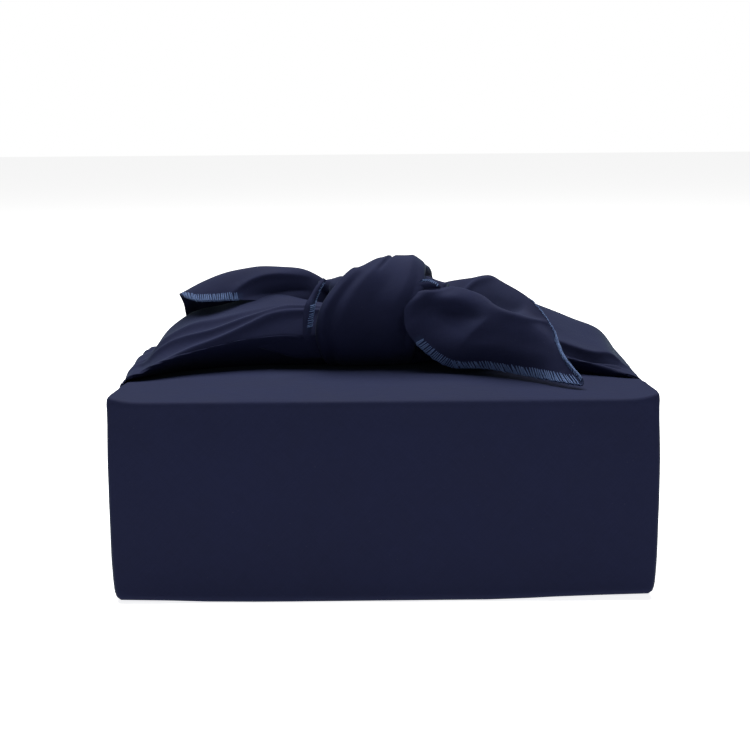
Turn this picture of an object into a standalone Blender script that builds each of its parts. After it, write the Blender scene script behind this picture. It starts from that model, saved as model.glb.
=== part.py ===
"""A box tied up in a furoshiki: one square cloth, folded over the box and knotted on its lid.

Frame: metres, +Z up, the front towards -Y, the origin on the floor under the middle of the bundle.
The box is a plain block. The cloth is one solid, made the way the wrap is tied:
- the wall goes under the box, up its four sides and over the lid, where the front flap ends in a slit;
- the back flap comes over the slit and ends in a fold across the lid;
- the two ears go up the end faces, turn over the lid's edges and run, in folds, up to the knot;
- each ear runs on as a strand of the square knot and ends in a tail, which is a corner of the cloth.
Every size and table below is in millimetres, and MM turns it into metres.
"""

import math

import bmesh
import bpy
import numpy as np

MM = 0.001

# The bundle, outside the cloth and without the knot.
WIDTH = 279.0
DEPTH = 200.0
HEIGHT = 105.0
CLOTH = 1.8
CLEARANCE = 0.4  # between the box and the cloth round it
UPRIGHT_ROUND = 4.0  # corner radius seen from above
CROWN = 3.5  # how far the folded flaps lift the cloth in the middle of the lid

# The back flap and the slit that it covers.
FLAP_THICK = 1.6
FLAP_GAP = 0.7
FLAP_EDGE_Y = 14.0
FLAP_SLANT = 7.0  # how much further forward the fold reaches at its left end
FLAP_SIDE_MARGIN = 9.0
SLIT_Y = 86.0
SLIT_WIDTH = 1.2
SLIT_SIDE_MARGIN = 16.0

# Profile of the wall: height above the floor, and how far it stands in from the full outline.
WALL_COLUMNS = ("z", "inset")
WALL = (
    (0.0, 6.5),
    (0.8, 3.0),
    (3.0, 0.9),
    (7.5, 0.0),
    (30.0, -0.5),
    (62.0, -0.6),
    (90.0, -0.2),
    (HEIGHT - 1.6, 0.0),
    (HEIGHT - 0.45, 0.5),
    (HEIGHT, 1.8),
)
LID_RINGS = (0.9, 0.7, 0.45, 0.2)  # shares of the lid's outline, from its edge to its middle

# An ear, from its foot on the end face to the knot. rim is how high its front edge is above the lid's edge,
# drop how much lower its back edge is, rise how far it arches above them, lean the way that its folds stand
# out: 90 outwards, 0 upwards. packed is the share of the arch that gathered cloth fills from above.
EAR_COLUMNS = ("x", "rim", "drop", "rise", "front", "back", "lean", "fold", "packed")
EAR_ON_END_FACE = (
    (138.8, -98.0, 0.0, 0.0, -95.0, 95.0, 90.0, 0.0, 0.0),
    (139.9, -76.0, 0.0, 0.0, -96.0, 96.0, 90.0, 0.4, 0.0),
    (140.2, -46.0, 0.0, 0.0, -96.5, 96.5, 90.0, 0.65, 0.0),
    (140.2, -17.0, 0.0, 0.0, -96.5, 96.5, 86.0, 0.8, 0.0),
    (139.9, -2.5, 0.0, 0.0, -96.0, 96.0, 66.0, 0.85, 0.0),
)
LEFT_EAR = EAR_ON_END_FACE + (
    (136.5, 2.5, 0.0, 2.5, -94.5, 95.0, 38.0, 0.9, 0.0),
    (129.5, 6.0, 0.0, 5.0, -91.0, 93.0, 18.0, 1.0, 0.2),
    (120.0, 9.3, 1.0, 10.5, -84.0, 89.0, 6.0, 1.0, 0.4),
    (106.0, 12.5, 2.0, 17.0, -72.0, 81.0, 0.0, 1.0, 0.55),
    (92.0, 15.5, 4.0, 20.0, -60.0, 71.0, 0.0, 1.0, 0.65),
    (75.0, 17.8, 8.0, 23.5, -47.0, 59.0, 0.0, 1.0, 0.75),
    (58.0, 20.3, 12.0, 26.0, -35.0, 46.0, 0.0, 0.85, 0.9),
    (44.0, 20.0, 12.0, 26.0, -25.0, 31.0, 0.0, 0.6, 1.0),
    (28.0, 18.5, 8.0, 22.0, -15.0, 17.0, 0.0, 0.3, 1.0),
)
RIGHT_EAR = EAR_ON_END_FACE + (
    (136.5, 3.0, 0.0, 2.0, -94.0, 95.0, 38.0, 0.9, 0.0),
    (129.5, 7.0, 0.0, 3.5, -88.0, 93.0, 18.0, 1.0, 0.2),
    (120.0, 10.5, 1.0, 8.5, -80.0, 88.0, 6.0, 1.0, 0.4),
    (106.0, 13.5, 2.0, 13.0, -67.0, 79.0, 0.0, 1.0, 0.55),
    (92.0, 15.0, 4.0, 17.0, -56.0, 68.0, 0.0, 1.0, 0.65),
    (75.0, 16.5, 8.0, 21.0, -45.0, 55.0, 0.0, 1.0, 0.75),
    (58.0, 18.5, 12.0, 23.5, -33.0, 43.0, 0.0, 0.85, 0.9),
    (44.0, 19.5, 12.0, 23.5, -23.0, 30.0, 0.0, 0.6, 1.0),
    (28.0, 19.0, 8.0, 20.0, -15.0, 17.0, 0.0, 0.3, 1.0),
)
EAR_ARCH_POWER = 2.4
EAR_ARCH_ROUND = 0.72
EAR_EDGE_ROW = 5  # the row of an ear where it has left the end face
EAR_SUNK = 1.2  # how deep an ear's inner side lies in the wall behind it
EAR_TUCK = 1.0  # how deep its front and back edges lie in the end face

# The folds of an ear: where each runs, as a share of the way from the ear's front to its back, at the foot,
# at the lid's edge and at the knot; how high it stands; and its half-width as such a share.
FOLD_COLUMNS = ("foot", "edge", "knot", "height", "half_width")
LEFT_FOLDS = (
    (-0.02, 0.13, 0.26, 4.4, 0.045),
    (0.06, 0.34, 0.44, 3.8, 0.050),
    (0.42, 0.54, 0.60, 2.6, 0.060),
    (0.93, 0.73, 0.74, 3.6, 0.050),
    (1.02, 0.90, 0.88, 3.0, 0.045),
)
RIGHT_FOLDS = (
    (-0.02, 0.11, 0.22, 2.8, 0.045),
    (0.07, 0.31, 0.40, 3.2, 0.045),
    (0.55, 0.51, 0.55, 2.6, 0.065),
    (0.94, 0.70, 0.70, 4.3, 0.050),
    (1.02, 0.89, 0.86, 3.0, 0.045),
)

# The square knot. Each strand is swept along this path, about the knot's middle, for the right-hand ear;
# the left-hand strand is the same path turned half round the upright.
KNOT_MIDDLE = (0.0, 0.0, HEIGHT + 32.0)
STRAND_COLUMNS = ("x", "y", "z", "half_width", "half_thick")
STRAND = (
    (52.0, 2.0, -4.0, 15.0, 11.5),
    (30.0, 3.0, -8.0, 14.0, 11.0),
    (12.0, 4.0, -12.0, 13.0, 9.5),
    (2.0, 7.0, -18.0, 14.0, 8.0),
    (-7.0, -4.0, -23.0, 17.0, 6.5),
    (-12.0, -18.0, -17.0, 23.0, 6.0),
    (-14.0, -23.5, -2.0, 26.0, 6.0),
    (-10.0, -20.0, 12.0, 22.0, 6.0),
    (0.0, -7.0, 25.0, 14.0, 7.0),
    (8.0, 7.0, 20.5, 11.0, 8.0),
    (16.0, 3.0, 14.0, 11.0, 8.0),
    (24.0, -6.0, 13.0, 10.0, 6.0),
    (34.0, -11.0, 13.0, 8.0, 2.5),
)
STRAND_RIDGES = 6
STRAND_RIDGE_SHARE = 0.10
STRAND_BOXINESS = 0.8

# The tails. A row is a line across the tail, from its root in the knot to its tip, and each of its points is
# x, y, z. The left tail is an arched leaf with its back layer behind it, and the right one lies forward.
LEFT_TAIL_COLUMNS = ("front_hem", "shoulder", "crest", "back", "back_hem")
LEFT_TAIL = (
    ((-29, 6, 147), (-30, 10, 151), (-31, 14, 153), (-31, 17, 151), (-31, 18, 148)),
    ((-42, 4, 149), (-42, 9, 154), (-42, 15, 157.5), (-43, 22, 153), (-43, 24, 147)),
    ((-60, 3, 147.0), (-59, 11, 154.5), (-57, 20, 160.3), (-58, 30, 153.5), (-58, 33, 145.5)),
    ((-77, 2, 145.5), (-76, 12, 153), (-74, 22, 159.4), (-75, 35, 151), (-76, 39, 141.5)),
    ((-92, 4, 145), (-91, 12, 150.5), (-89, 23, 157), (-91, 37, 147), (-93, 42, 137)),
    ((-105, 8, 144.5), (-105, 14, 148), (-104, 23, 152), (-106, 35, 144), (-107, 40, 134.5)),
    ((-116, 18, 146.5), (-116.8, 20, 146.8), (-117, 22, 146.4), (-116, 28, 142), (-114, 33, 137.5)),
)
RIGHT_TAIL_COLUMNS = ("front_hem", "belly", "crease", "valley", "back_hem")
RIGHT_TAIL = (
    ((14, -12, 145), (20, -13, 148), (27, -11, 150), (29, -6, 151), (30, -2, 151.5)),
    ((12, -24, 146.5), (19, -24, 151), (30, -15, 152), (33, -8, 152), (35, -1, 154.5)),
    ((12, -33, 136.5), (23, -27, 143.5), (38.5, -18, 151.5), (43, -10, 150), (47, 0, 156.5)),
    ((18, -42, 126.5), (34.5, -33, 137), (49.5, -27, 148), (55.5, -17, 148), (60, -4, 157.5)),
    ((32.5, -54, 116), (44.5, -46, 129.5), (59, -38.5, 142.5), (65, -27, 145.5), (69, -17, 153.5)),
    ((54, -63, 115.5), (62, -55, 126.5), (74, -47, 138.5), (78, -40, 142.5), (81, -37, 145.5)),
    ((79, -72, 111.8), (83, -65, 118.8), (88, -57, 128.8), (89.5, -54, 132.5), (90.5, -53, 134.5)),
    ((95, -76, 109.2), (96, -73, 112), (96.5, -70, 115.5), (96.5, -68, 118.5), (96, -67, 120.5)),
    ((103, -78, 108.2), (103.5, -77.5, 108.9), (104, -77, 109.7), (104, -76.5, 110.6), (103.8, -76, 111.4)),
)
TAIL_THICK = 1.6

# Soft lumps that fill the middle of the knot and the throats of the ears, where the cloth is packed tight.
LUMP_COLUMNS = ("x", "y", "z", "half_x", "half_y", "half_z")
LUMPS = (
    (0.0, 0.0, 136.0, 33.0, 17.0, 25.0),
    (-43.0, -2.0, 139.0, 20.0, 14.0, 11.0),
    (43.0, 0.0, 139.0, 20.0, 14.0, 11.0),
)

NAVY = (0.020, 0.024, 0.055, 1.0)
BOARD = (0.55, 0.47, 0.37, 1.0)


def smooth_rows(rows, at):
    """The rows of a table read at the places `at`, from 0 to 1, on smooth curves through all of them."""
    values = np.array(rows, float)
    values = values.reshape(len(values), -1)
    steps = np.linalg.norm(np.diff(values, axis=0), axis=1)
    knots = np.concatenate([[0.0], np.cumsum(steps)]) / steps.sum()
    slopes = np.gradient(values, knots, axis=0)
    place = np.clip(np.searchsorted(knots, at, side="right") - 1, 0, len(knots) - 2)
    span = (knots[place + 1] - knots[place])[:, None]
    t = ((at - knots[place])[:, None]) / span
    return (
        (2 * t**3 - 3 * t**2 + 1) * values[place]
        + (t**3 - 2 * t**2 + t) * span * slopes[place]
        + (3 * t**2 - 2 * t**3) * values[place + 1]
        + (t**3 - t**2) * span * slopes[place + 1]
    )


def row_places(rows):
    """Where each row of a table lies, from 0 to 1, as smooth_rows spaces them."""
    values = np.array(rows, float).reshape(len(rows), -1)
    steps = np.linalg.norm(np.diff(values, axis=0), axis=1)
    return np.concatenate([[0.0], np.cumsum(steps)]) / steps.sum()


def grid_normals(points):
    """The unit normals of a grid of points, by its two directions."""
    along = np.gradient(points, axis=0)
    across = np.gradient(points, axis=1)
    normals = np.cross(along, across)
    return normals / np.linalg.norm(normals, axis=2, keepdims=True)


def add_object(name, mesh, material, helper=False):
    """An object for a mesh. A helper is a shape that only a Boolean reads."""
    thing = bpy.data.objects.new(name, mesh)
    bpy.context.scene.collection.objects.link(thing)
    if material is not None:
        mesh.materials.append(material)
    if helper:
        thing.hide_render = True
        thing.display_type = "WIRE"
    return thing


def mesh_from(name, points, faces):
    """A closed mesh in metres with its faces turned outwards."""
    mesh = bpy.data.meshes.new(name)
    mesh.from_pydata([tuple(MM * c for c in p) for p in points], [], faces)
    shape = bmesh.new()
    shape.from_mesh(mesh)
    bmesh.ops.recalc_face_normals(shape, faces=shape.faces)
    shape.to_mesh(mesh)
    shape.free()
    mesh.shade_smooth()
    mesh.set_sharp_from_angle(angle=math.radians(40))
    return mesh


def shell_mesh(name, outer, inner):
    """A closed mesh between two grids of points of one size, joined round their rim."""
    rows, columns = outer.shape[:2]
    points = np.concatenate([outer.reshape(-1, 3), inner.reshape(-1, 3)])
    inside = rows * columns
    faces = []
    for i in range(rows - 1):
        for j in range(columns - 1):
            a = i * columns + j
            b, c, d = a + 1, a + columns + 1, a + columns
            faces.append((a, b, c, d))
            faces.append((inside + a, inside + d, inside + c, inside + b))
    rim = [j for j in range(columns)]
    rim += [i * columns + columns - 1 for i in range(1, rows)]
    rim += [(rows - 1) * columns + j for j in range(columns - 2, -1, -1)]
    rim += [i * columns for i in range(rows - 2, 0, -1)]
    for a, b in zip(rim, rim[1:] + rim[:1]):
        faces.append((a, b, inside + b, inside + a))
    return mesh_from(name, points, faces)


def stacked_mesh(name, rings):
    """A closed mesh through rings of points of one length, with a flat face on each end."""
    count = len(rings[0])
    points = [p for ring in rings for p in ring]
    faces = [tuple(range(count))]
    for k in range(len(rings) - 1):
        for i in range(count):
            j = (i + 1) % count
            low, high = k * count, (k + 1) * count
            faces.append((low + i, low + j, high + j, high + i))
    faces.append(tuple((len(rings) - 1) * count + i for i in range(count)))
    return mesh_from(name, points, faces)


def outline(half_x, half_y, corner, z):
    """A rectangle with round corners at one height, as points that run round it."""
    along_x, along_y, along_corner = 9, 7, 3
    straight_x, straight_y = half_x - corner, half_y - corner
    points = []
    for turn, (sign_x, sign_y) in enumerate(((1, -1), (1, 1), (-1, 1), (-1, -1))):
        for k in range(along_corner):
            angle = math.radians(90 * (turn - 1) + 90 * k / along_corner)
            x = sign_x * straight_x + corner * math.cos(angle)
            y = sign_y * straight_y + corner * math.sin(angle)
            points.append((x, y, z))
        steps = along_y if turn % 2 == 0 else along_x
        for k in range(steps):
            reach = 1 - 2 * k / steps
            if turn % 2 == 0:
                points.append((sign_x * half_x, sign_y * straight_y * reach, z))
            else:
                points.append((sign_x * straight_x * reach, sign_y * half_y, z))
    return points


def lid_height(x, y):
    """The height of the cloth on the lid, which the folded flaps lift in the middle."""
    across = max(0.0, 1 - (2 * x / WIDTH) ** 2)
    along = max(0.0, 1 - (2 * y / DEPTH) ** 2)
    return HEIGHT + CROWN * min(1.0, 1.3 * across) * along


def inside_mesh(name, gap):
    """The room inside the wall, `gap` in from its outer face all round."""
    rings = []
    for z, inset in WALL:
        far = inset + gap
        height = gap + z * (HEIGHT - 2 * gap) / HEIGHT
        rings.append(outline(WIDTH / 2 - far, DEPTH / 2 - far, max(UPRIGHT_ROUND - far, 0.8), height))
    return stacked_mesh(name, rings)


def wall_mesh():
    """The cloth under, round and over the box, still without its hollow."""
    rings = [
        outline(WIDTH / 2 - inset, DEPTH / 2 - inset, max(UPRIGHT_ROUND - inset, 0.8), z)
        for z, inset in WALL
    ]
    edge = rings[-1]
    for share in LID_RINGS:
        rings.append([(x * share, y * share, lid_height(x * share, y * share)) for x, y, _ in edge])
    return stacked_mesh("wall", rings)


def block_mesh(name, low, high):
    """A block between two corners."""
    corners = [(x, y, z) for z in (low[2], high[2]) for y in (low[1], high[1]) for x in (low[0], high[0])]
    faces = [(0, 2, 3, 1), (4, 5, 7, 6), (0, 1, 5, 4), (1, 3, 7, 5), (3, 2, 6, 7), (2, 0, 4, 6)]
    return mesh_from(name, corners, faces)


def back_flap_mesh():
    """The back flap: it leaves the wall behind the slit and lies just over the lid, up to its fold."""
    half = WIDTH / 2 - FLAP_SIDE_MARGIN
    behind = DEPTH / 2 - 2.5
    columns = np.linspace(-1, 1, 13)
    rows = np.linspace(0, 1, 6)
    lower = np.zeros((len(rows), len(columns), 3))
    for i, along in enumerate(rows):
        for j, across in enumerate(columns):
            x = half * across
            fold_y = FLAP_EDGE_Y - FLAP_SLANT * (1 - across) / 2
            y = behind + (fold_y - behind) * along
            lifted = FLAP_GAP if along > 0 else -CLOTH / 2
            lower[i, j] = (x, y, lid_height(x, y) + lifted)
    upper = lower.copy()
    upper[1:, :, 2] += FLAP_THICK
    upper[0, :, 2] += FLAP_THICK + FLAP_GAP
    return shell_mesh("back_flap", upper, lower)


def ear_fold_height(folds, across, places, lid_edge):
    """How far the folds stand out over an ear: a grid, places along the ear by shares across it."""
    height = np.zeros((len(places), len(across)))
    for foot, edge, knot, tall, half_width in folds:
        at_fold = np.interp(places, [0.0, lid_edge, 1.0], [foot, edge, knot])[:, None]
        height += tall / np.cosh(1.3 * (across[None, :] - at_fold) / half_width) ** 2
    return height


def ear_mesh(name, side, rows, folds):
    """An ear, as a sheet that is sunk in the wall on the end face and free from the lid's edge on."""
    places = np.linspace(0, 1, 24)
    across = np.linspace(0, 1, 27)
    across = 0.35 * (1 - np.cos(math.pi * across)) / 2 + 0.65 * across
    lid_edge = row_places(rows)[EAR_EDGE_ROW]
    table = [column[:, None] for column in smooth_rows(rows, places).T]
    x, rim, drop, rise, front, back, lean, fold, packed = table
    arch = (1 - np.abs(2 * across - 1) ** EAR_ARCH_POWER) ** EAR_ARCH_ROUND
    relief = fold * ear_fold_height(folds, across, places, lid_edge)
    lean = np.radians(np.clip(lean, 0, 90))
    tuck = EAR_TUCK * np.sin(lean) * np.abs(2 * across - 1) ** 12
    above_rim = rise * arch + np.cos(lean) * relief
    outer = np.stack(
        [
            side * (x + np.sin(lean) * relief - tuck),
            front + (back - front) * across,
            HEIGHT + rim - drop * across + above_rim,
        ],
        axis=2,
    )
    free = outer + CLOTH * side * grid_normals(outer)
    free[:, :, 2] -= packed * above_rim
    sunk = outer.copy()
    sunk[:, :, 0] = side * (WIDTH / 2 - EAR_SUNK)
    sunk[:, :, 2] = np.minimum(sunk[:, :, 2], HEIGHT - EAR_SUNK)
    on_face = np.clip((places - lid_edge) / 0.03 + 1, 0, 1)[:, None, None]
    return shell_mesh(name, outer, (1 - on_face) * sunk + on_face * free)


def strand_mesh(name, turned):
    """One strand of the knot, swept along its path. `turned` turns it half round for the other ear."""
    steps, around = 28, 18
    table = smooth_rows(STRAND, np.linspace(0, 1, steps))
    centre, half_width, half_thick = table[:, :3], table[:, 3], table[:, 4]
    tangent = np.gradient(centre, axis=0)
    tangent /= np.linalg.norm(tangent, axis=1, keepdims=True)
    outward = centre * (0, 1, 1)
    outward -= (outward * tangent).sum(axis=1, keepdims=True) * tangent
    outward /= np.linalg.norm(outward, axis=1, keepdims=True)
    sideways = np.cross(tangent, outward)
    angles = np.linspace(0, 2 * math.pi, around, endpoint=False)
    rings = []
    for k in range(steps):
        ridge = 1 + STRAND_RIDGE_SHARE * np.cos(STRAND_RIDGES * angles)
        wide = np.sign(np.cos(angles)) * np.abs(np.cos(angles)) ** STRAND_BOXINESS * ridge
        thick = np.sign(np.sin(angles)) * np.abs(np.sin(angles)) ** STRAND_BOXINESS * ridge
        ring = (
            centre[k]
            + half_width[k] * wide[:, None] * sideways[k]
            + half_thick[k] * thick[:, None] * outward[k]
        )
        if turned:
            ring = ring * (-1, -1, 1)
        rings.append(ring + KNOT_MIDDLE)
    return stacked_mesh(name, rings)


def tail_mesh(name, rows):
    """A tail, as a thin sheet through the lines of its table."""
    along = np.linspace(0, 1, 20)
    across = np.linspace(0, 1, 11)
    lines = smooth_rows(rows, along).reshape(len(along), -1, 3)
    middle = np.stack([smooth_rows(line, across) for line in lines])
    half = TAIL_THICK / 2 * grid_normals(middle)
    return shell_mesh(name, middle + half, middle - half)


def lump_mesh(name, row):
    """A lump of packed cloth."""
    x, y, z, half_x, half_y, half_z = row
    rings = []
    for k in range(1, 8):
        polar = math.pi * k / 8
        rings.append(
            [
                (
                    x + half_x * math.sin(polar) * math.cos(turn),
                    y + half_y * math.sin(polar) * math.sin(turn),
                    z - half_z * math.cos(polar),
                )
                for turn in np.linspace(0, 2 * math.pi, 16, endpoint=False)
            ]
        )
    return stacked_mesh(name, rings)


def add_boolean(target, operation, other):
    """A Boolean modifier on `target` that takes `other` as it is. The thin folds need the MANIFOLD solver."""
    modifier = target.modifiers.new(f"{operation.lower()}_{other.name}", "BOOLEAN")
    modifier.operation = operation
    modifier.solver = "MANIFOLD"
    modifier.object = other


def plain_material(name, colour, roughness):
    """A material of one colour."""
    material = bpy.data.materials.new(name)
    material.use_nodes = True
    shader = material.node_tree.nodes["Principled BSDF"]
    shader.inputs["Base Color"].default_value = colour
    shader.inputs["Roughness"].default_value = roughness
    shader.inputs["Metallic"].default_value = 0.0
    return material


def build_cloth():
    """The furoshiki, as one solid."""
    navy = plain_material("navy_cloth", NAVY, 0.85)
    cloth = add_object("furoshiki", wall_mesh(), navy)
    hollow = inside_mesh("hollow", CLOTH)
    slit_half = WIDTH / 2 - SLIT_SIDE_MARGIN
    slit = block_mesh(
        "slit",
        (-slit_half, SLIT_Y, HEIGHT - 2 * CLOTH),
        (slit_half, SLIT_Y + SLIT_WIDTH, HEIGHT + CROWN),
    )
    for mesh in (hollow, slit):
        add_boolean(cloth, "DIFFERENCE", add_object(mesh.name, mesh, None, helper=True))
    joined = (
        back_flap_mesh(),
        ear_mesh("left_ear", -1, LEFT_EAR, LEFT_FOLDS),
        ear_mesh("right_ear", 1, RIGHT_EAR, RIGHT_FOLDS),
        strand_mesh("left_strand", turned=True),
        strand_mesh("right_strand", turned=False),
        tail_mesh("left_tail", LEFT_TAIL),
        tail_mesh("right_tail", RIGHT_TAIL),
        *(lump_mesh(f"lump_{k}", row) for k, row in enumerate(LUMPS)),
    )
    for mesh in joined:
        add_boolean(cloth, "UNION", add_object(mesh.name, mesh, None, helper=True))


def build_box():
    """The plain box that the cloth is tied round."""
    add_object("box", inside_mesh("box", CLOTH + CLEARANCE), plain_material("plain_board", BOARD, 0.7))


def main():
    """Clears the scene and builds the bundle."""
    for thing in list(bpy.data.objects):
        bpy.data.objects.remove(thing)
    build_cloth()
    build_box()


main()
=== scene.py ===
"""A box tied up in a dark navy furoshiki with light blue overlocked edges.

The cloth is made as the wrap is tied: the body round the box, the back flap on the lid, the two ears that
rise from the end faces, the two strands of the square knot and the tails that they end in. The overlock
stitches run along every cut edge that shows. All tables are in millimetres, and MM turns them into metres.
"""

from __future__ import annotations

import logging
import math
from dataclasses import dataclass, field
from enum import Enum
from typing import Sequence

import bmesh
import bpy
import numpy as np
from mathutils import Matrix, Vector, noise


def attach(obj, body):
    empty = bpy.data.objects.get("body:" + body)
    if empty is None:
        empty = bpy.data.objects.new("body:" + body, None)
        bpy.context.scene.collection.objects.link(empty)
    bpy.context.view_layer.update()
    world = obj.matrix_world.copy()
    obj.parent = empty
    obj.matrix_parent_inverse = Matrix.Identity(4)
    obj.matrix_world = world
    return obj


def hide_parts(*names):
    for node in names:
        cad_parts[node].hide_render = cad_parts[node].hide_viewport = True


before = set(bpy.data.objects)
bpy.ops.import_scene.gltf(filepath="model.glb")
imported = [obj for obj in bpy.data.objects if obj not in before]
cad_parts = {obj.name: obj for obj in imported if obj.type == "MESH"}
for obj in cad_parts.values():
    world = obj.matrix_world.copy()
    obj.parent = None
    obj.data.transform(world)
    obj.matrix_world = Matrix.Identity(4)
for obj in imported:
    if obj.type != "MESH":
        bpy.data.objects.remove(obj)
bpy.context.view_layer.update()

LOG = logging.getLogger("furoshiki")
MM = 0.001
BODY = "root"
NODE = "furoshiki"

# The bundle, outside the cloth and without the knot.
WIDTH, DEPTH, HEIGHT = 279.0, 200.0, 105.0
KNOT_ABOVE_LID = 32.0  # where the knot's middle is
KNOT_MIDDLE = np.array((0.0, 0.0, HEIGHT + KNOT_ABOVE_LID))
SHEET = 0.7  # thickness of the woven cloth

SHARP_ANGLE = math.radians(60)  # faces that meet at a larger angle keep a sharp edge
CREST_ROUNDING = 0.02  # keeps the crest of a pinched crease slightly round
INSIDE_REACH = 0.96  # how much of a sheet's width an edge's strip may take
NEXT_TO_NOTHING = 1e-9
CLOTH_MAP, FLAT_MAP, HEM_MASK = "cloth", "flat", "hem"  # the names under which meshes carry their measures

Table = Sequence[Sequence[float]]
Colour = tuple[float, float, float, float]


class Side(Enum):
    """The end of the bundle that a piece belongs to."""

    LEFT = -1
    RIGHT = 1


class Held(Enum):
    """How a piece of the cloth is held."""

    STRETCHED = "stretched"
    GATHERED = "gathered"
    LAID = "laid"
    DRAPED = "draped"


# ---------------------------------------------------------------------------------------------- curves


def smooth_between(knots: np.ndarray, values: np.ndarray, at: np.ndarray) -> np.ndarray:
    """Reads smooth curves through known rows of values.

    Args:
        knots: the place of each row, rising.
        values: the rows of values.
        at: the places to read; past both ends the curves stay level.

    Returns:
        One row of values for each place.
    """
    slopes = np.gradient(values, knots, axis=0)
    before = np.clip(np.searchsorted(knots, at, side="right") - 1, 0, len(knots) - 2)
    after = before + 1
    span = (knots[after] - knots[before])[:, None]
    t = np.clip((at - knots[before])[:, None] / span, 0, 1)
    return (
        (2 * t**3 - 3 * t**2 + 1) * values[before]
        + (t**3 - 2 * t**2 + t) * span * slopes[before]
        + (3 * t**2 - 2 * t**3) * values[after]
        + (t**3 - t**2) * span * slopes[after]
    )


def smooth_rows(rows: Table, at: np.ndarray) -> np.ndarray:
    """Reads a table on smooth curves through all of its rows, which are spaced by the distance between them.

    Args:
        rows: the table, one row of numbers for each section.
        at: the places to read, from 0 to 1.

    Returns:
        One row of values for each place.
    """
    values = np.array(rows, float).reshape(len(rows), -1)
    knots = distances(values)
    return smooth_between(knots / knots[-1], values, at)


def distances(points: np.ndarray) -> np.ndarray:
    """Distances over a line's points from its first one.

    Args:
        points: one line of points, or a grid whose rows are lines.

    Returns:
        A distance for each point.
    """
    steps = np.linalg.norm(np.diff(points, axis=-2), axis=-1)
    return np.concatenate([np.zeros_like(steps[..., :1]), np.cumsum(steps, axis=-1)], axis=-1)


def fade(value: np.ndarray, start: float | np.ndarray, end: float | np.ndarray) -> np.ndarray:
    """A share that goes evenly from 0 at the start to 1 at the end, whichever of them is larger."""
    return np.clip((value - start) / (end - start), 0, 1)


def unit(vectors: np.ndarray) -> np.ndarray:
    """Vectors of length 1 with the same directions."""
    return vectors / np.maximum(np.linalg.norm(vectors, axis=-1, keepdims=True), NEXT_TO_NOTHING)


def grid_normals(points: np.ndarray) -> np.ndarray:
    """Unit normals of a grid of points, by its two directions."""
    return unit(np.cross(np.gradient(points, axis=0), np.gradient(points, axis=1)))


def soft_noise(points: np.ndarray, size: float, seed: float) -> np.ndarray:
    """Smooth unevenness over points.

    Args:
        points: points in millimetres, with any leading axes.
        size: the size of one swell, in millimetres.
        seed: another number gives another pattern.

    Returns:
        Values from about -1 to 1, with the leading axes of points.
    """
    flat = points.reshape(-1, 3) / size
    values = [noise.noise(Vector((x + seed, y - 2 * seed, z + 3 * seed))) for x, y, z in flat]
    return np.array(values).reshape(points.shape[:-1])


# ---------------------------------------------------------------------------------------------- sheets


@dataclass(frozen=True)
class Crease:
    """A fold line on a sheet.

    line holds (along, across, height): where the crest runs, as shares of the sheet, and how high it stands
    in millimetres, where less than 0 is a trough. near and far are the widths of its two flanks, towards
    across 0 and across 1. sharp is 2 for a round crest and 1 for a pinched one. lean pushes the crest
    towards across 0, as a share of its height, so that it hangs over its near flank.
    """

    line: Table
    near: float
    far: float
    sharp: float = 1.6
    lean: float = 0.0


def crease_heights(
    creases: Sequence[Crease], along: np.ndarray, across: np.ndarray
) -> tuple[np.ndarray, np.ndarray]:
    """Adds up the creases over a sheet.

    Args:
        creases: the fold lines.
        along: the places of the grid's rows.
        across: the places of the grid's columns.

    Returns:
        How far each grid point stands out, and how far it leans towards across 0.
    """
    height = np.zeros((len(along), len(across)))
    leaning = np.zeros_like(height)
    for crease in creases:
        line = np.array(crease.line)
        crest, tall = smooth_between(line[:, 0], line[:, 1:], along).T[..., None]
        off = across[None, :] - crest
        flank = np.where(off < 0, crease.near, crease.far)
        raised = tall * np.exp(-(((off / flank) ** 2 + CREST_ROUNDING) ** (crease.sharp / 2)))
        raised[(along < line[0, 0]) | (along > line[-1, 0])] = 0.0
        height += raised
        leaning += crease.lean * raised
    return height, leaning


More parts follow.
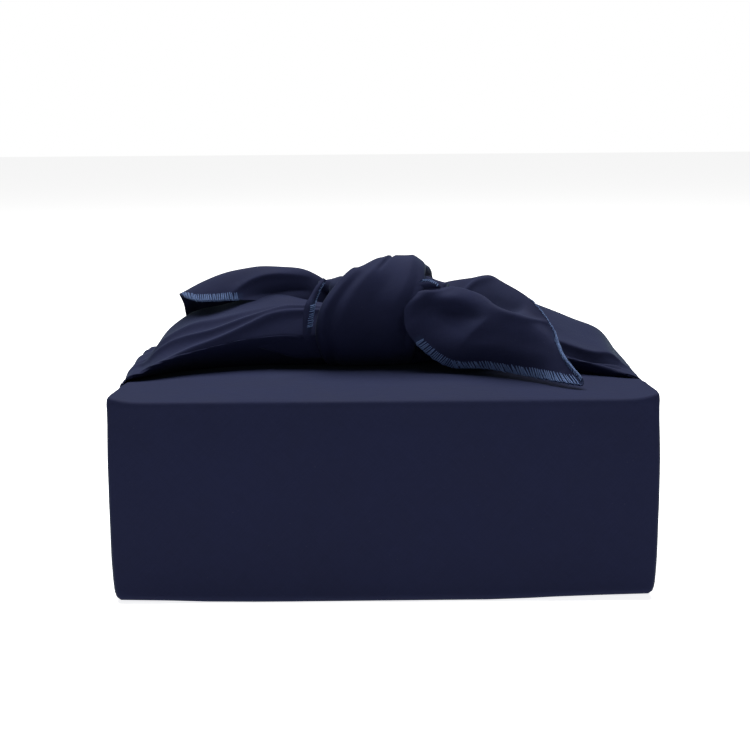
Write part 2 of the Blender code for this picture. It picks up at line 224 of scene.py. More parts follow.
@dataclass
class Sheet:
    """A piece of cloth as a grid of points, in millimetres, with the measures that its finish reads."""

    points: np.ndarray
    hem: np.ndarray | None = None

    def fold(self, creases: Sequence[Crease], along: np.ndarray, across: np.ndarray, out: float) -> None:
        """Raises the creases along the normals.

        Args:
            creases: the fold lines.
            along: the places of the rows.
            across: the places of the columns.
            out: 1 where the grid's normals point out of the bundle, and -1 where they point in.
        """
        height, leaning = crease_heights(creases, along, across)
        normals = out * grid_normals(self.points)
        crosswise = unit(np.gradient(self.points, axis=1))
        self.points = self.points + height[..., None] * normals - leaning[..., None] * crosswise

    def flat_map(self) -> np.ndarray:
        """Measures the cloth for its finish.

        Returns:
            Each point's distance over the cloth from the first row, and from the middle of its own row.
        """
        steps = np.linalg.norm(np.diff(self.points, axis=0), axis=2).mean(axis=1)
        across = distances(self.points)
        along = np.concatenate([[0.0], np.cumsum(steps)])[:, None] + 0 * across
        return np.stack([along, across - across[:, -1:] / 2], axis=2)

    def mesh(
        self, name: str, round_columns: bool = False, flip: bool = False, inner: np.ndarray | None = None
    ) -> bpy.types.Mesh:
        """Makes the mesh, with its cloth map and its hem mask.

        Args:
            name: the mesh's name.
            round_columns: joins the last column to the first.
            flip: turns the faces over.
            inner: the grid of the cloth's inner side, where the mesh is to be closed with it.

        Returns:
            A mesh in metres.
        """
        rows, columns = self.points.shape[:2]
        index = np.arange(rows * columns).reshape(rows, columns)
        following = np.roll(index, -1, axis=1)
        wide = columns if round_columns else columns - 1
        a, b = index[:-1, :wide], following[:-1, :wide]
        d, c = index[1:, :wide], following[1:, :wide]
        faces = np.stack([a, b, c, d], axis=2).reshape(-1, 4)
        points, sides = self.points.reshape(-1, 3), 1
        if inner is not None:
            rim = np.concatenate([index[0, :-1], index[:-1, -1], index[-1, :0:-1], index[:0:-1, 0]])
            after, under = np.roll(rim, -1), rows * columns
            band = np.stack([after, rim, rim + under, after + under], axis=1)
            faces = np.concatenate([faces, faces[:, ::-1] + under, band])
            points, sides = np.concatenate([points, inner.reshape(-1, 3)]), 2
        if flip:
            faces = faces[:, ::-1]
        mesh = bpy.data.meshes.new(name)
        mesh.from_pydata((points * MM).tolist(), [], faces.tolist())
        add_map(mesh, CLOTH_MAP, np.tile(self.flat_map().reshape(-1, 2), (sides, 1)))
        mask = mesh.attributes.new(HEM_MASK, "FLOAT", "POINT")
        hem = np.zeros(rows * columns) if self.hem is None else self.hem.reshape(-1)
        mask.data.foreach_set("value", np.tile(hem, sides))
        mesh.shade_smooth()
        return mesh


def add_map(mesh: bpy.types.Mesh, name: str, flat: np.ndarray) -> None:
    """Adds a flat map to a mesh.

    Args:
        mesh: the mesh.
        name: the map's name.
        flat: each vertex's place on the map, in millimetres.
    """
    corners = np.zeros(len(mesh.loops), int)
    mesh.loops.foreach_get("vertex_index", corners)
    layer = mesh.uv_layers.new(name=name)
    layer.data.foreach_set("uv", (flat * MM)[corners].reshape(-1))


def place(name: str, mesh: bpy.types.Mesh) -> bpy.types.Object:
    """Links an object for a mesh, at the origin.

    Args:
        name: the object's name.
        mesh: its mesh.

    Returns:
        The object.
    """
    thing = bpy.data.objects.new(name, mesh)
    bpy.context.scene.collection.objects.link(thing)
    return thing


def freeze(thing: bpy.types.Object) -> None:
    """Applies the object's modifiers to its mesh.

    Args:
        thing: the object, which keeps its materials.
    """
    graph = bpy.context.evaluated_depsgraph_get()
    made = bpy.data.meshes.new_from_object(thing.evaluated_get(graph))
    thing.modifiers.clear()
    old = thing.data
    thing.data = made
    made.name = old.name
    bpy.data.meshes.remove(old)


def thicken(thing: bpy.types.Object, thickness: float = SHEET) -> None:
    """Gives a sheet its thickness on its inner side, with closed edges.

    Args:
        thing: the sheet, its faces outwards.
        thickness: in millimetres.
    """
    wall = thing.modifiers.new("thickness", "SOLIDIFY")
    wall.thickness = thickness * MM
    wall.offset = -1.0
    wall.use_rim = True
    freeze(thing)
    thing.data.shade_smooth()
    thing.data.set_sharp_from_angle(angle=SHARP_ANGLE)


# ------------------------------------------------------------------------------------------ materials


@dataclass
class NodeSketch:
    """A short way to write a node tree."""

    tree: bpy.types.NodeTree

    def feed(self, node: bpy.types.Node, **values: object) -> bpy.types.Node:
        """Gives a node what goes to its inputs.

        Args:
            node: the node.
            values: what goes to the inputs, by name with _ for a space; in_0, in_1 go by number. A socket is
                linked, and any other value is set.

        Returns:
            The node.
        """
        for name, value in values.items():
            key = int(name[3:]) if name.startswith("in_") else name.replace("_", " ")
            socket = node.inputs[key]
            if isinstance(value, bpy.types.NodeSocket):
                self.tree.links.new(value, socket)
            else:
                socket.default_value = value
        return node

    def add(self, kind: str, operation: str | None = None, **values: object) -> bpy.types.Node:
        """Adds a node.

        Args:
            kind: the node's type.
            operation: the node's operation, where it has one.
            values: what goes to the inputs, as feed reads it.

        Returns:
            The node.
        """
        node = self.tree.nodes.new(kind)
        if operation is not None:
            node.operation = operation
        return self.feed(node, **values)

    def math(self, operation: str, a: object, b: object = 0.0, c: object = 0.0) -> bpy.types.NodeSocket:
        """Adds a Math node and gives its value."""
        return self.add("ShaderNodeMath", operation, in_0=a, in_1=b, in_2=c).outputs[0]

    def mix(self, factor: object, a: object, b: object) -> bpy.types.NodeSocket:
        """Mixes two colours.

        Args:
            factor: a number or socket, from 0 for the first colour to 1 for the second.
            a: the first colour.
            b: the second colour.

        Returns:
            The mixed colour.
        """
        node = self.tree.nodes.new("ShaderNodeMix")
        node.data_type = "RGBA"
        return self.feed(node, in_0=factor, in_6=a, in_7=b).outputs[2]

    def scaled(
        self, value: object, low: float, high: float, from_low: float = 0.0, from_high: float = 1.0
    ) -> bpy.types.NodeSocket:
        """Maps a value from one range to another, clamped."""
        span = {"in_1": from_low, "in_2": from_high, "in_3": low, "in_4": high}
        return self.add("ShaderNodeMapRange", Value=value, **span).outputs[0]

    def own_place(self) -> bpy.types.NodeSocket:
        """The place on the piece, in Object coordinates."""
        return self.add("ShaderNodeTexCoord").outputs["Object"]


class ShaderEffects:
    """The effects that the materials share, each a node group that is built once."""

    def __init__(self) -> None:
        """Builds the groups."""
        self.weave = self._plain_weave()
        self.unevenness = self._unevenness()
        self.lint = self._lint()

    @staticmethod
    def _group(
        name: str, inputs: dict[str, float | None], outputs: Sequence[str]
    ) -> tuple[NodeSketch, bpy.types.Node, bpy.types.Node]:
        """Starts a group.

        Args:
            name: the group's name.
            inputs: the default of each input, by name; None makes a vector input.
            outputs: the name of each output, which are all values.

        Returns:
            The sketch of its tree, and its input and output nodes.
        """
        tree = bpy.data.node_groups.new(name, "ShaderNodeTree")
        for label, default in inputs.items():
            kind = "NodeSocketVector" if default is None else "NodeSocketFloat"
            socket = tree.interface.new_socket(name=label, in_out="INPUT", socket_type=kind)
            if default is not None:
                socket.default_value = default
        for label in outputs:
            tree.interface.new_socket(name=label, in_out="OUTPUT", socket_type="NodeSocketFloat")
        return NodeSketch(tree), tree.nodes.new("NodeGroupInput"), tree.nodes.new("NodeGroupOutput")

    def _plain_weave(self) -> bpy.types.NodeTree:
        """Builds the plain weave.

        Returns:
            The group. It reads a map in metres, and puts out the threads' height and shade, from 0 to 1.
            The shade is the slubs' own tone, and painted shade in the hollows between the crossing threads.
        """
        wander, wander_scale = 0.35, 260.0  # how far, in threads, and how often a thread leaves its line
        slub_along, slub_beside = 60.0, 1900.0  # how often thick places come along a thread, and next to it
        sketch, given, made = self._group(
            "plain_weave", {"Vector": None, "Pitch": 0.0005, "Turn": 0.785}, ("Height", "Shade")
        )
        turned = sketch.add(
            "ShaderNodeVectorRotate", Vector=given.outputs["Vector"], Angle=given.outputs["Turn"]
        ).outputs[0]
        wobble = sketch.add("ShaderNodeTexNoise", Vector=turned, Scale=wander_scale, Detail=1.0).outputs[0]
        parts = sketch.add("ShaderNodeSeparateXYZ", Vector=turned).outputs
        waves, slubs = [], []
        for axis, stretch in enumerate(((slub_along, slub_beside, 1.0), (slub_beside, slub_along, 1.0))):
            count = sketch.math("DIVIDE", parts[axis], given.outputs["Pitch"])
            phase = sketch.math("MULTIPLY_ADD", count, math.pi, sketch.math("MULTIPLY", wobble, wander))
            waves.append(sketch.math("SINE", phase))
            mapped = sketch.add("ShaderNodeMapping", Vector=turned, Scale=stretch).outputs[0]
            slubs.append(sketch.add("ShaderNodeTexNoise", Vector=mapped, Scale=1.0, Detail=2.0).outputs[0])
        raised = sketch.math("MULTIPLY_ADD", sketch.math("MULTIPLY", *waves), 0.5, 0.5)
        slub = sketch.math("MULTIPLY", sketch.math("ADD", *slubs), 0.5)
        height = sketch.math("MULTIPLY_ADD", slub, 0.6, sketch.math("MULTIPLY", raised, 0.7))
        # Painted shade: the colour goes darker in the weave's hollows and lighter on its raised threads,
        # following the height; the slubs add the thread's own tone.
        slub_shade = sketch.math("SUBTRACT", slub, 0.5)
        shade = sketch.math("MULTIPLY_ADD", slub_shade, 2.0, sketch.scaled(raised, 0.3, 0.7))
        sketch.feed(made, Height=height, Shade=shade)
        return sketch.tree

    def _unevenness(self) -> bpy.types.NodeTree:
        """Builds the slow unevenness of dye, handling and wear.

        Returns:
            The group. It reads a place, and puts out a mask and a soft height, from 0 to 1.
        """
        finer = 6.0  # how much smaller the fine unevenness is than the broad one
        fine_share = 0.35
        sketch, given, made = self._group("unevenness", {"Vector": None, "Size": 0.04}, ("Mask", "Height"))
        at = given.outputs["Vector"]
        scale = sketch.math("DIVIDE", 1.0, given.outputs["Size"])
        broad = sketch.add("ShaderNodeTexNoise", Vector=at, Scale=scale, Detail=3.0, Roughness=0.55)
        fine_scale = sketch.math("MULTIPLY", scale, finer)
        fine = sketch.add("ShaderNodeTexNoise", Vector=at, Scale=fine_scale, Detail=4.0, Roughness=0.6)
        rest = sketch.math("MULTIPLY", broad.outputs[0], 1 - fine_share)
        both = sketch.math("MULTIPLY_ADD", fine.outputs[0], fine_share, rest)
        mask = sketch.scaled(both, 0.0, 1.0, 0.3, 0.7)
        sketch.feed(made, Mask=mask, Height=sketch.scaled(fine.outputs[0], 0.0, 1.0, 0.25, 0.75))
        return sketch.tree

    def _lint(self) -> bpy.types.NodeTree:
        """Builds the sparse lint and dust that a dark cloth picks up.

        Returns:
            The group. It reads a place, and puts out a mask, 1 on a speck.
        """
        speck_scale, patch_scale = 420.0, 90.0  # how close the specks and the patches of them lie
        sketch, given, made = self._group("lint", {"Vector": None, "Amount": 0.2}, ("Mask",))
        at = given.outputs["Vector"]
        cells = sketch.add("ShaderNodeTexVoronoi", Vector=at, Scale=speck_scale)
        speck = sketch.scaled(cells.outputs["Distance"], 1.0, 0.0, 0.05, 0.16)
        patch = sketch.add("ShaderNodeTexNoise", Vector=at, Scale=patch_scale, Detail=2.0).outputs[0]
        chosen = sketch.math("MULTIPLY", speck, sketch.scaled(patch, 0.0, 1.0, 0.6, 0.66))
        sketch.feed(made, Mask=sketch.math("MULTIPLY", chosen, given.outputs["Amount"]))
        return sketch.tree

    @staticmethod
    def use(sketch: NodeSketch, group: bpy.types.NodeTree, **values: object) -> bpy.types.Node:
        """Places a group in a material.

        Args:
            sketch: the material's tree.
            group: the group.
            values: what goes to its inputs, by name.

        Returns:
            The group's node.
        """
        node = sketch.tree.nodes.new("ShaderNodeGroup")
        node.node_tree = group
        return sketch.feed(node, **values)


def start_material(name: str) -> tuple[bpy.types.Material, NodeSketch, bpy.types.Node]:
    """Starts a material with its Principled shader.

    Args:
        name: the material's name.

    Returns:
        The material, the sketch of its tree and its shader.
    """
    material = bpy.data.materials.new(name)
    material.use_nodes = True
    return material, NodeSketch(material.node_tree), material.node_tree.nodes["Principled BSDF"]


def grey(level: float) -> Colour:
    """An opaque grey."""
    return (level, level, level, 1.0)


@dataclass(frozen=True)
class ClothFinish:
    """Fine plain weave in dark navy, with a faint soft sheen. Its sizes are in metres."""

    deep: Colour = (0.0138, 0.0168, 0.0480, 1.0)
    light: Colour = (0.0198, 0.0240, 0.0670, 1.0)
    hem: Colour = (0.022, 0.034, 0.085, 1.0)
    hem_share: float = 0.60  # how far the thread's colour shows on the cloth under the stitches
    lint: Colour = (0.16, 0.17, 0.21, 1.0)
    lint_amount: float = 0.10
    pitch: float = 0.00042
    weave_depth: float = 0.00006
    pucker_size: float = 0.05
    pucker_depth: float = 0.00022
    roughness: tuple[float, float] = (0.70, 0.88)
    sheen: float = 0.095
    sheen_roughness: float = 0.38
    sheen_tint: Colour = (0.66, 0.92, 1.0, 1.0)
    gloss: float = 0.08

    def material(self, effects: ShaderEffects) -> bpy.types.Material:
        """Builds the cloth's material.

        Args:
            effects: the shared node groups.

        Returns:
            The material, which reads the cloth map, the hem mask and Object coordinates.
        """
        material, sketch, shader = start_material("navy_plain_weave")
        cloth_map = sketch.add("ShaderNodeUVMap")
        cloth_map.uv_map = CLOTH_MAP
        hem = sketch.add("ShaderNodeAttribute")
        hem.attribute_name = HEM_MASK
        at = sketch.own_place()
        weave = effects.use(sketch, effects.weave, Vector=cloth_map.outputs[0], Pitch=self.pitch)
        slow = effects.use(sketch, effects.unevenness, Vector=at, Size=self.pucker_size)
        lint = effects.use(sketch, effects.lint, Vector=at, Amount=self.lint_amount)
        # The weave's shade is partly painted shade in the hollows between the threads, and partly the slubs'
        # own tone.
        threads = sketch.math("MULTIPLY", weave.outputs["Shade"], 0.5)
        shade = sketch.math("MULTIPLY_ADD", slow.outputs["Mask"], 0.5, threads)
        colour = sketch.mix(shade, self.deep, self.light)
        colour = sketch.mix(sketch.scaled(hem.outputs["Fac"], 0.0, self.hem_share), colour, self.hem)
        pucker = sketch.add(
            "ShaderNodeBump", Height=slow.outputs["Height"], Distance=self.pucker_depth, Strength=0.5
        )
        relief = sketch.add(
            "ShaderNodeBump",
            Height=weave.outputs["Height"],
            Distance=self.weave_depth,
            Strength=0.7,
            Normal=pucker.outputs[0],
        )
        sketch.feed(
            shader,
            Base_Color=sketch.mix(lint.outputs["Mask"], colour, self.lint),
            Roughness=sketch.scaled(slow.outputs["Mask"], *self.roughness),
            Sheen_Weight=self.sheen,
            Sheen_Roughness=self.sheen_roughness,
            Sheen_Tint=self.sheen_tint,
            Specular_IOR_Level=self.gloss,
            Normal=relief.outputs[0],
        )
        return material


@dataclass(frozen=True)
class ThreadFinish:
    """Soft overlock thread in light blue. Its sizes are in metres."""

    deep: Colour = (0.060, 0.110, 0.260, 1.0)
    light: Colour = (0.170, 0.260, 0.500, 1.0)
    patch_size: float = 0.006
    lint: Colour = (0.6, 0.62, 0.68, 1.0)
    lint_amount: float = 0.15
    roughness: tuple[float, float] = (0.55, 0.8)
    sheen: float = 0.1
    gloss: float = 0.2
    ply_scale: float = 900.0  # plies in a metre
    ply_depth: float = 0.00005

    def material(self, effects: ShaderEffects) -> bpy.types.Material:
        """Builds the thread's material.

        Args:
            effects: the shared node groups.

        Returns:
            The material, which reads Object coordinates.
        """
        material, sketch, shader = start_material("light_blue_thread")
        at = sketch.own_place()
        slow = effects.use(sketch, effects.unevenness, Vector=at, Size=self.patch_size).outputs["Mask"]
        lint = effects.use(sketch, effects.lint, Vector=at, Amount=self.lint_amount).outputs["Mask"]
        ply = sketch.add("ShaderNodeTexWave", Vector=at, Scale=self.ply_scale, Distortion=3.0)
        relief = sketch.add(
            "ShaderNodeBump", Height=ply.outputs["Fac"], Distance=self.ply_depth, Strength=0.5
        )
        sketch.feed(
            shader,
            Base_Color=sketch.mix(lint, sketch.mix(slow, self.deep, self.light), self.lint),
            Roughness=sketch.scaled(slow, *self.roughness),
            Sheen_Weight=self.sheen,
            Specular_IOR_Level=self.gloss,
            Normal=relief.outputs[0],
        )
        return material


@dataclass(frozen=True)
class BoardFinish:
    """Plain uncoated board, which the cloth hides. Its sizes are in metres."""

    deep: Colour = (0.40, 0.33, 0.25, 1.0)
    light: Colour = (0.58, 0.50, 0.40, 1.0)
    patch_size: float = 0.03
    fibre_stretch: tuple[float, float, float] = (60.0, 900.0, 900.0)
    fibre_depth: float = 0.0001
    roughness: tuple[float, float] = (0.7, 0.9)

    def material(self, effects: ShaderEffects) -> bpy.types.Material:
        """Builds the board's material.

        Args:
            effects: the shared node groups.

        Returns:
            The material, which reads Object coordinates.
        """
        material, sketch, shader = start_material("plain_board")
        at = sketch.own_place()
        slow = effects.use(sketch, effects.unevenness, Vector=at, Size=self.patch_size)
        fibres = sketch.add("ShaderNodeMapping", Vector=at, Scale=self.fibre_stretch).outputs[0]
        grain = sketch.add("ShaderNodeTexNoise", Vector=fibres, Scale=1.0, Detail=3.0).outputs[0]
        patches = sketch.math("MULTIPLY", slow.outputs["Mask"], 0.5)
        shade = sketch.math("MULTIPLY_ADD", grain, 0.5, patches)
        relief = sketch.add("ShaderNodeBump", Height=grain, Distance=self.fibre_depth, Strength=0.4)
        sketch.feed(
            shader,
            Base_Color=sketch.mix(shade, self.deep, self.light),
            Roughness=sketch.scaled(shade, *self.roughness),
            Normal=relief.outputs[0],
        )
        return material


# ------------------------------------------------------------------------------------------- stitches


@dataclass(frozen=True)
class Hem:
    """One overlocked edge of a tail: which edge, from where to where along the tail, and its stitches."""

    name: str
    far_side: bool
    first: float
    last: float
    width: float
    seed: int
    slant: float = -1.4
    pitch: float = 1.7


@dataclass
class OverlockStitches:
    """The overlock stitches: slanted loops over a cut edge, with a bead of looper thread round it.

    The tree lays the stitches out on a flat strip, x along the edge, y in from it and z off the cloth, and
    then bends the strip onto the cloth's edge by the edge's own flat map.
    """

    thread: bpy.types.Material
    pitch: float = 1.55
    width: float = 5.0
    radius: float = 0.23
    slant: float = 1.1
    stray_low: tuple[float, float, float] = (-0.00016, -0.00028, -0.00003)  # in metres
    stray_high: tuple[float, float, float] = (0.00016, 0.00022, 0.00010)
    stray_turn: float = 0.09  # in radians
    end_gap: float = 1.4  # how far before the end of the edge the stitches stop, in pitches
    lift: tuple[float, float] = (0.9, 2.4)  # how high the ends and the middle of a loop lie, in thread radii
    loop_start: float = 0.04  # how far in from the edge the loops start, as a share of the width
    return_step: float = 0.34  # how far along the edge a loop comes back, in pitches
    return_radius: float = 0.85  # how thin its thread is pulled there, in thread radii
    needle_line: float = 1.02  # how far in the needle thread lies, as a share of the width
    bead_reach: float = -2.2  # how far the bead stands past the edge, in thread radii
    bead_lead: float = 0.8  # how far the bead runs along before it turns under, in half pitches
    tube_sides: int = 5
    loop_steps: int = 6
    tree: bpy.types.NodeTree = field(init=False)

    def __post_init__(self) -> None:
        """Builds the tree once."""
        self.tree = bpy.data.node_groups.new("overlock_stitches", "GeometryNodeTree")
        self._sockets()
        sketch = NodeSketch(self.tree)
        size = self.tree.nodes.new("NodeGroupInput").outputs
        laid = self._lay_out(sketch, size, self._stitch(sketch, size))
        bent = self._bend(sketch, size["Edge"], laid)
        smooth = sketch.add("GeometryNodeSetShadeSmooth", Geometry=bent).outputs[0]
        dressed = sketch.add("GeometryNodeSetMaterial", Geometry=smooth, Material=self.thread).outputs[0]
        sketch.add("NodeGroupOutput", Stitches=dressed)

    def _sockets(self) -> None:
        """Gives the tree its named inputs, in metres, and its output."""
        sockets = self.tree.interface
        sockets.new_socket(name="Edge", in_out="INPUT", socket_type="NodeSocketGeometry")
        for label, default in (
            ("Length", 100.0),
            ("Pitch", self.pitch),
            ("Width", self.width),
            ("Thread Radius", self.radius),
            ("Slant", self.slant),
            ("Thickness", SHEET),
        ):
            socket = sockets.new_socket(name=label, in_out="INPUT", socket_type="NodeSocketFloat")
            socket.default_value = default * MM
        sockets.new_socket(name="Seed", in_out="INPUT", socket_type="NodeSocketInt").default_value = 7
        sockets.new_socket(name="Stitches", in_out="OUTPUT", socket_type="NodeSocketGeometry")

    @staticmethod
    def _vector(sketch: NodeSketch, x: object, y: object, z: object) -> bpy.types.NodeSocket:
        """A vector from three numbers or sockets."""
        return sketch.add("ShaderNodeCombineXYZ", X=x, Y=y, Z=z).outputs[0]

    def _stitch(self, sketch: NodeSketch, size: bpy.types.bpy_prop_collection) -> bpy.types.NodeSocket:
        """Makes one stitch on the flat strip.

        Args:
            sketch: the tree.
            size: the tree's inputs.

        Returns:
            The stitch: its loops, its needle thread and its share of the bead.
        """
        whole = sketch.add("GeometryNodeJoinGeometry")
        width, pitch, radius, slant = (size[label] for label in ("Width", "Pitch", "Thread Radius", "Slant"))

        def share(part: float, of: bpy.types.NodeSocket) -> bpy.types.NodeSocket:
            """A part of a size."""
            return sketch.math("MULTIPLY", of, part)

        def thread(*ends: tuple[object, object, object], thick: object, steps: int = self.loop_steps) -> None:
            """Lays a piece of thread into the stitch.

            Args:
                ends: the start, the middle and the end of its curve.
                thick: its radius.
                steps: how many straight parts the curve is made of.
            """
            start, middle, end = (self._vector(sketch, *point) for point in ends)
            curve = sketch.add(
                "GeometryNodeCurveQuadraticBezier", Resolution=steps, Start=start, Middle=middle, End=end
            )
            ring = sketch.add("GeometryNodeCurvePrimitiveCircle", Resolution=self.tube_sides, Radius=thick)
            tube = sketch.add(
                "GeometryNodeCurveToMesh",
                Curve=curve.outputs[0],
                Profile_Curve=ring.outputs["Curve"],
                Fill_Caps=True,
            )
            sketch.tree.links.new(tube.outputs[0], whole.inputs[0])

        up, high = (share(part, radius) for part in self.lift)
        thin = share(self.return_radius, radius)
        under = sketch.math("MULTIPLY_ADD", size["Thickness"], -1.0, share(-1.0, up))
        deep = sketch.math("SUBTRACT", under, radius)
        near, half_width, far = (share(part, width) for part in (self.loop_start, 0.5, self.needle_line))
        half_slant, half_pitch = share(0.5, slant), share(0.5, pitch)
        back_step = share(self.return_step, pitch)
        back_middle = sketch.math("ADD", half_slant, back_step)
        # Each narrow loop goes in over the face and comes back, and so does the one underneath.
        for low, top in ((up, high), (under, deep)):
            thread((0.0, near, low), (half_slant, half_width, top), (slant, width, low), thick=radius)
            thread((slant, width, low), (back_middle, half_width, low), (back_step, near, low), thick=thin)
        # The needle thread shows as one short stitch along the inner side.
        start = sketch.math("SUBTRACT", slant, half_pitch)
        end = sketch.math("ADD", start, pitch)
        needle_steps = self.loop_steps - 1
        thread((start, far, 0.0), (slant, far, high), (end, far, 0.0), thick=radius, steps=needle_steps)
        # The bead wraps the cut edge from face to back.
        outside = share(self.bead_reach, radius)
        for shift in (0.0, half_pitch):
            lead = sketch.math("ADD", shift, share(self.bead_lead, half_pitch))
            thread((shift, near, up), (lead, outside, 0.0), (lead, near, under), thick=radius)
        return whole.outputs[0]

    def _lay_out(
        self, sketch: NodeSketch, size: bpy.types.bpy_prop_collection, stitch: bpy.types.NodeSocket
    ) -> bpy.types.NodeSocket:
        """Repeats the stitch along the strip, each one a little out of place.

        Args:
            sketch: the tree.
            size: the tree's inputs.
            stitch: one stitch.

        Returns:
            The stitches on the flat strip, made real.
        """
        count = sketch.math("DIVIDE", size["Length"], size["Pitch"])
        first_at = sketch.math("SUBTRACT", size["Pitch"], sketch.math("MINIMUM", size["Slant"], 0.0))
        line = sketch.add(
            "GeometryNodeMeshLine",
            Count=count,
            Start_Location=self._vector(sketch, first_at, 0.0, 0.0),
            Offset=self._vector(sketch, size["Pitch"], 0.0, 0.0),
        )
        stray = sketch.tree.nodes.new("FunctionNodeRandomValue")
        stray.data_type = "FLOAT_VECTOR"
        sketch.feed(stray, Min=self.stray_low, Max=self.stray_high, Seed=size["Seed"])
        moved = sketch.add("GeometryNodeSetPosition", Geometry=line.outputs[0], Offset=stray.outputs[0])
        turn = sketch.add("FunctionNodeRandomValue", Seed=sketch.math("ADD", size["Seed"], 11.0))
        turn.data_type = "FLOAT"
        for socket in turn.inputs:
            if socket.type == "VALUE" and socket.name in ("Min", "Max"):
                socket.default_value = -self.stray_turn if socket.name == "Min" else self.stray_turn
        angle = next(socket for socket in turn.outputs if socket.type == "VALUE")
        laid = sketch.add(
            "GeometryNodeInstanceOnPoints",
            Points=moved.outputs[0],
            Instance=stitch,
            Rotation=self._vector(sketch, 0.0, 0.0, angle),
        )
        return sketch.add("GeometryNodeRealizeInstances", Geometry=laid.outputs[0]).outputs[0]

    def _bend(
        self, sketch: NodeSketch, edge: bpy.types.NodeSocket, laid: bpy.types.NodeSocket
    ) -> bpy.types.NodeSocket:
        """Bends the flat strip onto the cloth's edge.

        Args:
            sketch: the tree.
            edge: the cloth next to the edge, with its flat map.
            laid: the stitches on the flat strip.

        Returns:
            The stitches in their place.
        """
        here = sketch.add("GeometryNodeInputPosition").outputs[0]
        parts = sketch.add("ShaderNodeSeparateXYZ", Vector=here).outputs
        flat_at = self._vector(sketch, parts[0], parts[1], 0.0)
        flat = sketch.tree.nodes.new("GeometryNodeInputNamedAttribute")
        flat.data_type = "FLOAT_VECTOR"
        sketch.feed(flat, Name=FLAT_MAP)
        flat_out = next(socket for socket in flat.outputs if socket.type == "VECTOR")
        found = []
        for value in (here, sketch.add("GeometryNodeInputNormal").outputs[0]):
            sample = sketch.tree.nodes.new("GeometryNodeSampleUVSurface")
            sample.data_type = "FLOAT_VECTOR"
            sketch.feed(sample, Mesh=edge, Sample_UV=flat_at)
            for socket in sample.inputs:
                if socket.enabled and socket.name in ("Value", "UV Map", "Source UV Map"):
                    sketch.tree.links.new(value if socket.name == "Value" else flat_out, socket)
            values = (socket for socket in sample.outputs if socket.name == "Value" and socket.enabled)
            found.append(next(values))
        off = sketch.add("ShaderNodeVectorMath", "SCALE", in_0=found[1], Scale=parts[2]).outputs[0]
        bent_at = sketch.add("ShaderNodeVectorMath", "ADD", in_0=found[0], in_1=off).outputs[0]
        return sketch.add("GeometryNodeSetPosition", Geometry=laid, Position=bent_at).outputs[0]

    def sew(self, name: str, strip: np.ndarray, insets: Sequence[float], hem: Hem) -> bpy.types.Object:
        """Sews the stitches along one edge.

        Args:
            name: the piece's name.
            strip: the edge's cloth as a grid, its rows along the edge and its columns at the insets, in
                millimetres, with the normals outwards.
            insets: how far each column lies in from the edge; less than 0 is past it.
            hem: the sizes and the seed of the stitches.

        Returns:
            The stitches as one plain mesh.
        """
        along = distances(strip[:, list(insets).index(0.0)])
        flat = np.stack(np.broadcast_arrays(along[:, None], np.array(insets)[None, :]), axis=2)
        mesh = Sheet(strip).mesh(name)
        add_map(mesh, FLAT_MAP, flat.reshape(-1, 2))
        thing = place(name, mesh)
        sewing = thing.modifiers.new("overlock", "NODES")
        sewing.node_group = self.tree
        length = along[-1] - abs(hem.slant) - self.end_gap * hem.pitch
        sizes = {"Length": length, "Pitch": hem.pitch, "Width": hem.width, "Slant": hem.slant}
        for item in self.tree.interface.items_tree:
            if item.name in sizes:
                sewing[item.identifier] = sizes[item.name] * MM
            elif item.name == "Seed":
                sewing[item.identifier] = hem.seed
        freeze(thing)
        return thing


def edge_strip(points: np.ndarray, hem: Hem, insets: Sequence[float]) -> np.ndarray:
    """Reads the cloth next to one edge of a sheet.

    Args:
        points: the sheet's grid.
        hem: which edge, and from where to where.
        insets: the distances in from the edge to read at; less than 0 carries on past it.

    Returns:
        A grid, with its rows along the edge and its columns at the insets.
    """
    last_row = len(points) - 1
    grid = points[round(hem.first * last_row) : round(hem.last * last_row) + 1]
    if hem.far_side:
        grid = grid[:, ::-1]
    strip = np.zeros((len(grid), len(insets), 3))
    for i, (line, reach) in enumerate(zip(grid, distances(grid))):
        inward = line[2] - line[0]
        for k, inset in enumerate(insets):
            if inset < 0:
                strip[i, k] = line[0] + inset * inward / np.linalg.norm(inward)
            else:
                at = min(inset, INSIDE_REACH * reach[-1])
                strip[i, k] = [np.interp(at, reach, line[:, axis]) for axis in range(3)]
    return strip


# --------------------------------------------------------------------------------------------- pieces


@dataclass
class Workshop:
    """What every piece is made with: the cloth's finish, and the stitches with their thread."""

    cloth: bpy.types.Material
    stitches: OverlockStitches

    def finish_cloth(self, thing: bpy.types.Object) -> None:
        """Dresses a piece of the furoshiki and puts it in its place in the frame.

        Args:
            thing: the piece.
        """
        thing.data.materials.clear()
        thing.data.materials.append(self.cloth)
        self.settle(thing)

    @staticmethod
    def settle(thing: bpy.types.Object) -> None:
        """Rides a piece on the body, in place of the cloth's solid.

        Args:
            thing: the piece.
        """
        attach(thing, BODY)
        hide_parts(NODE)
        area = sum(face.area for face in thing.data.polygons)
        LOG.info("%s: %d faces, %.4f square metres", thing.name, len(thing.data.polygons), area)


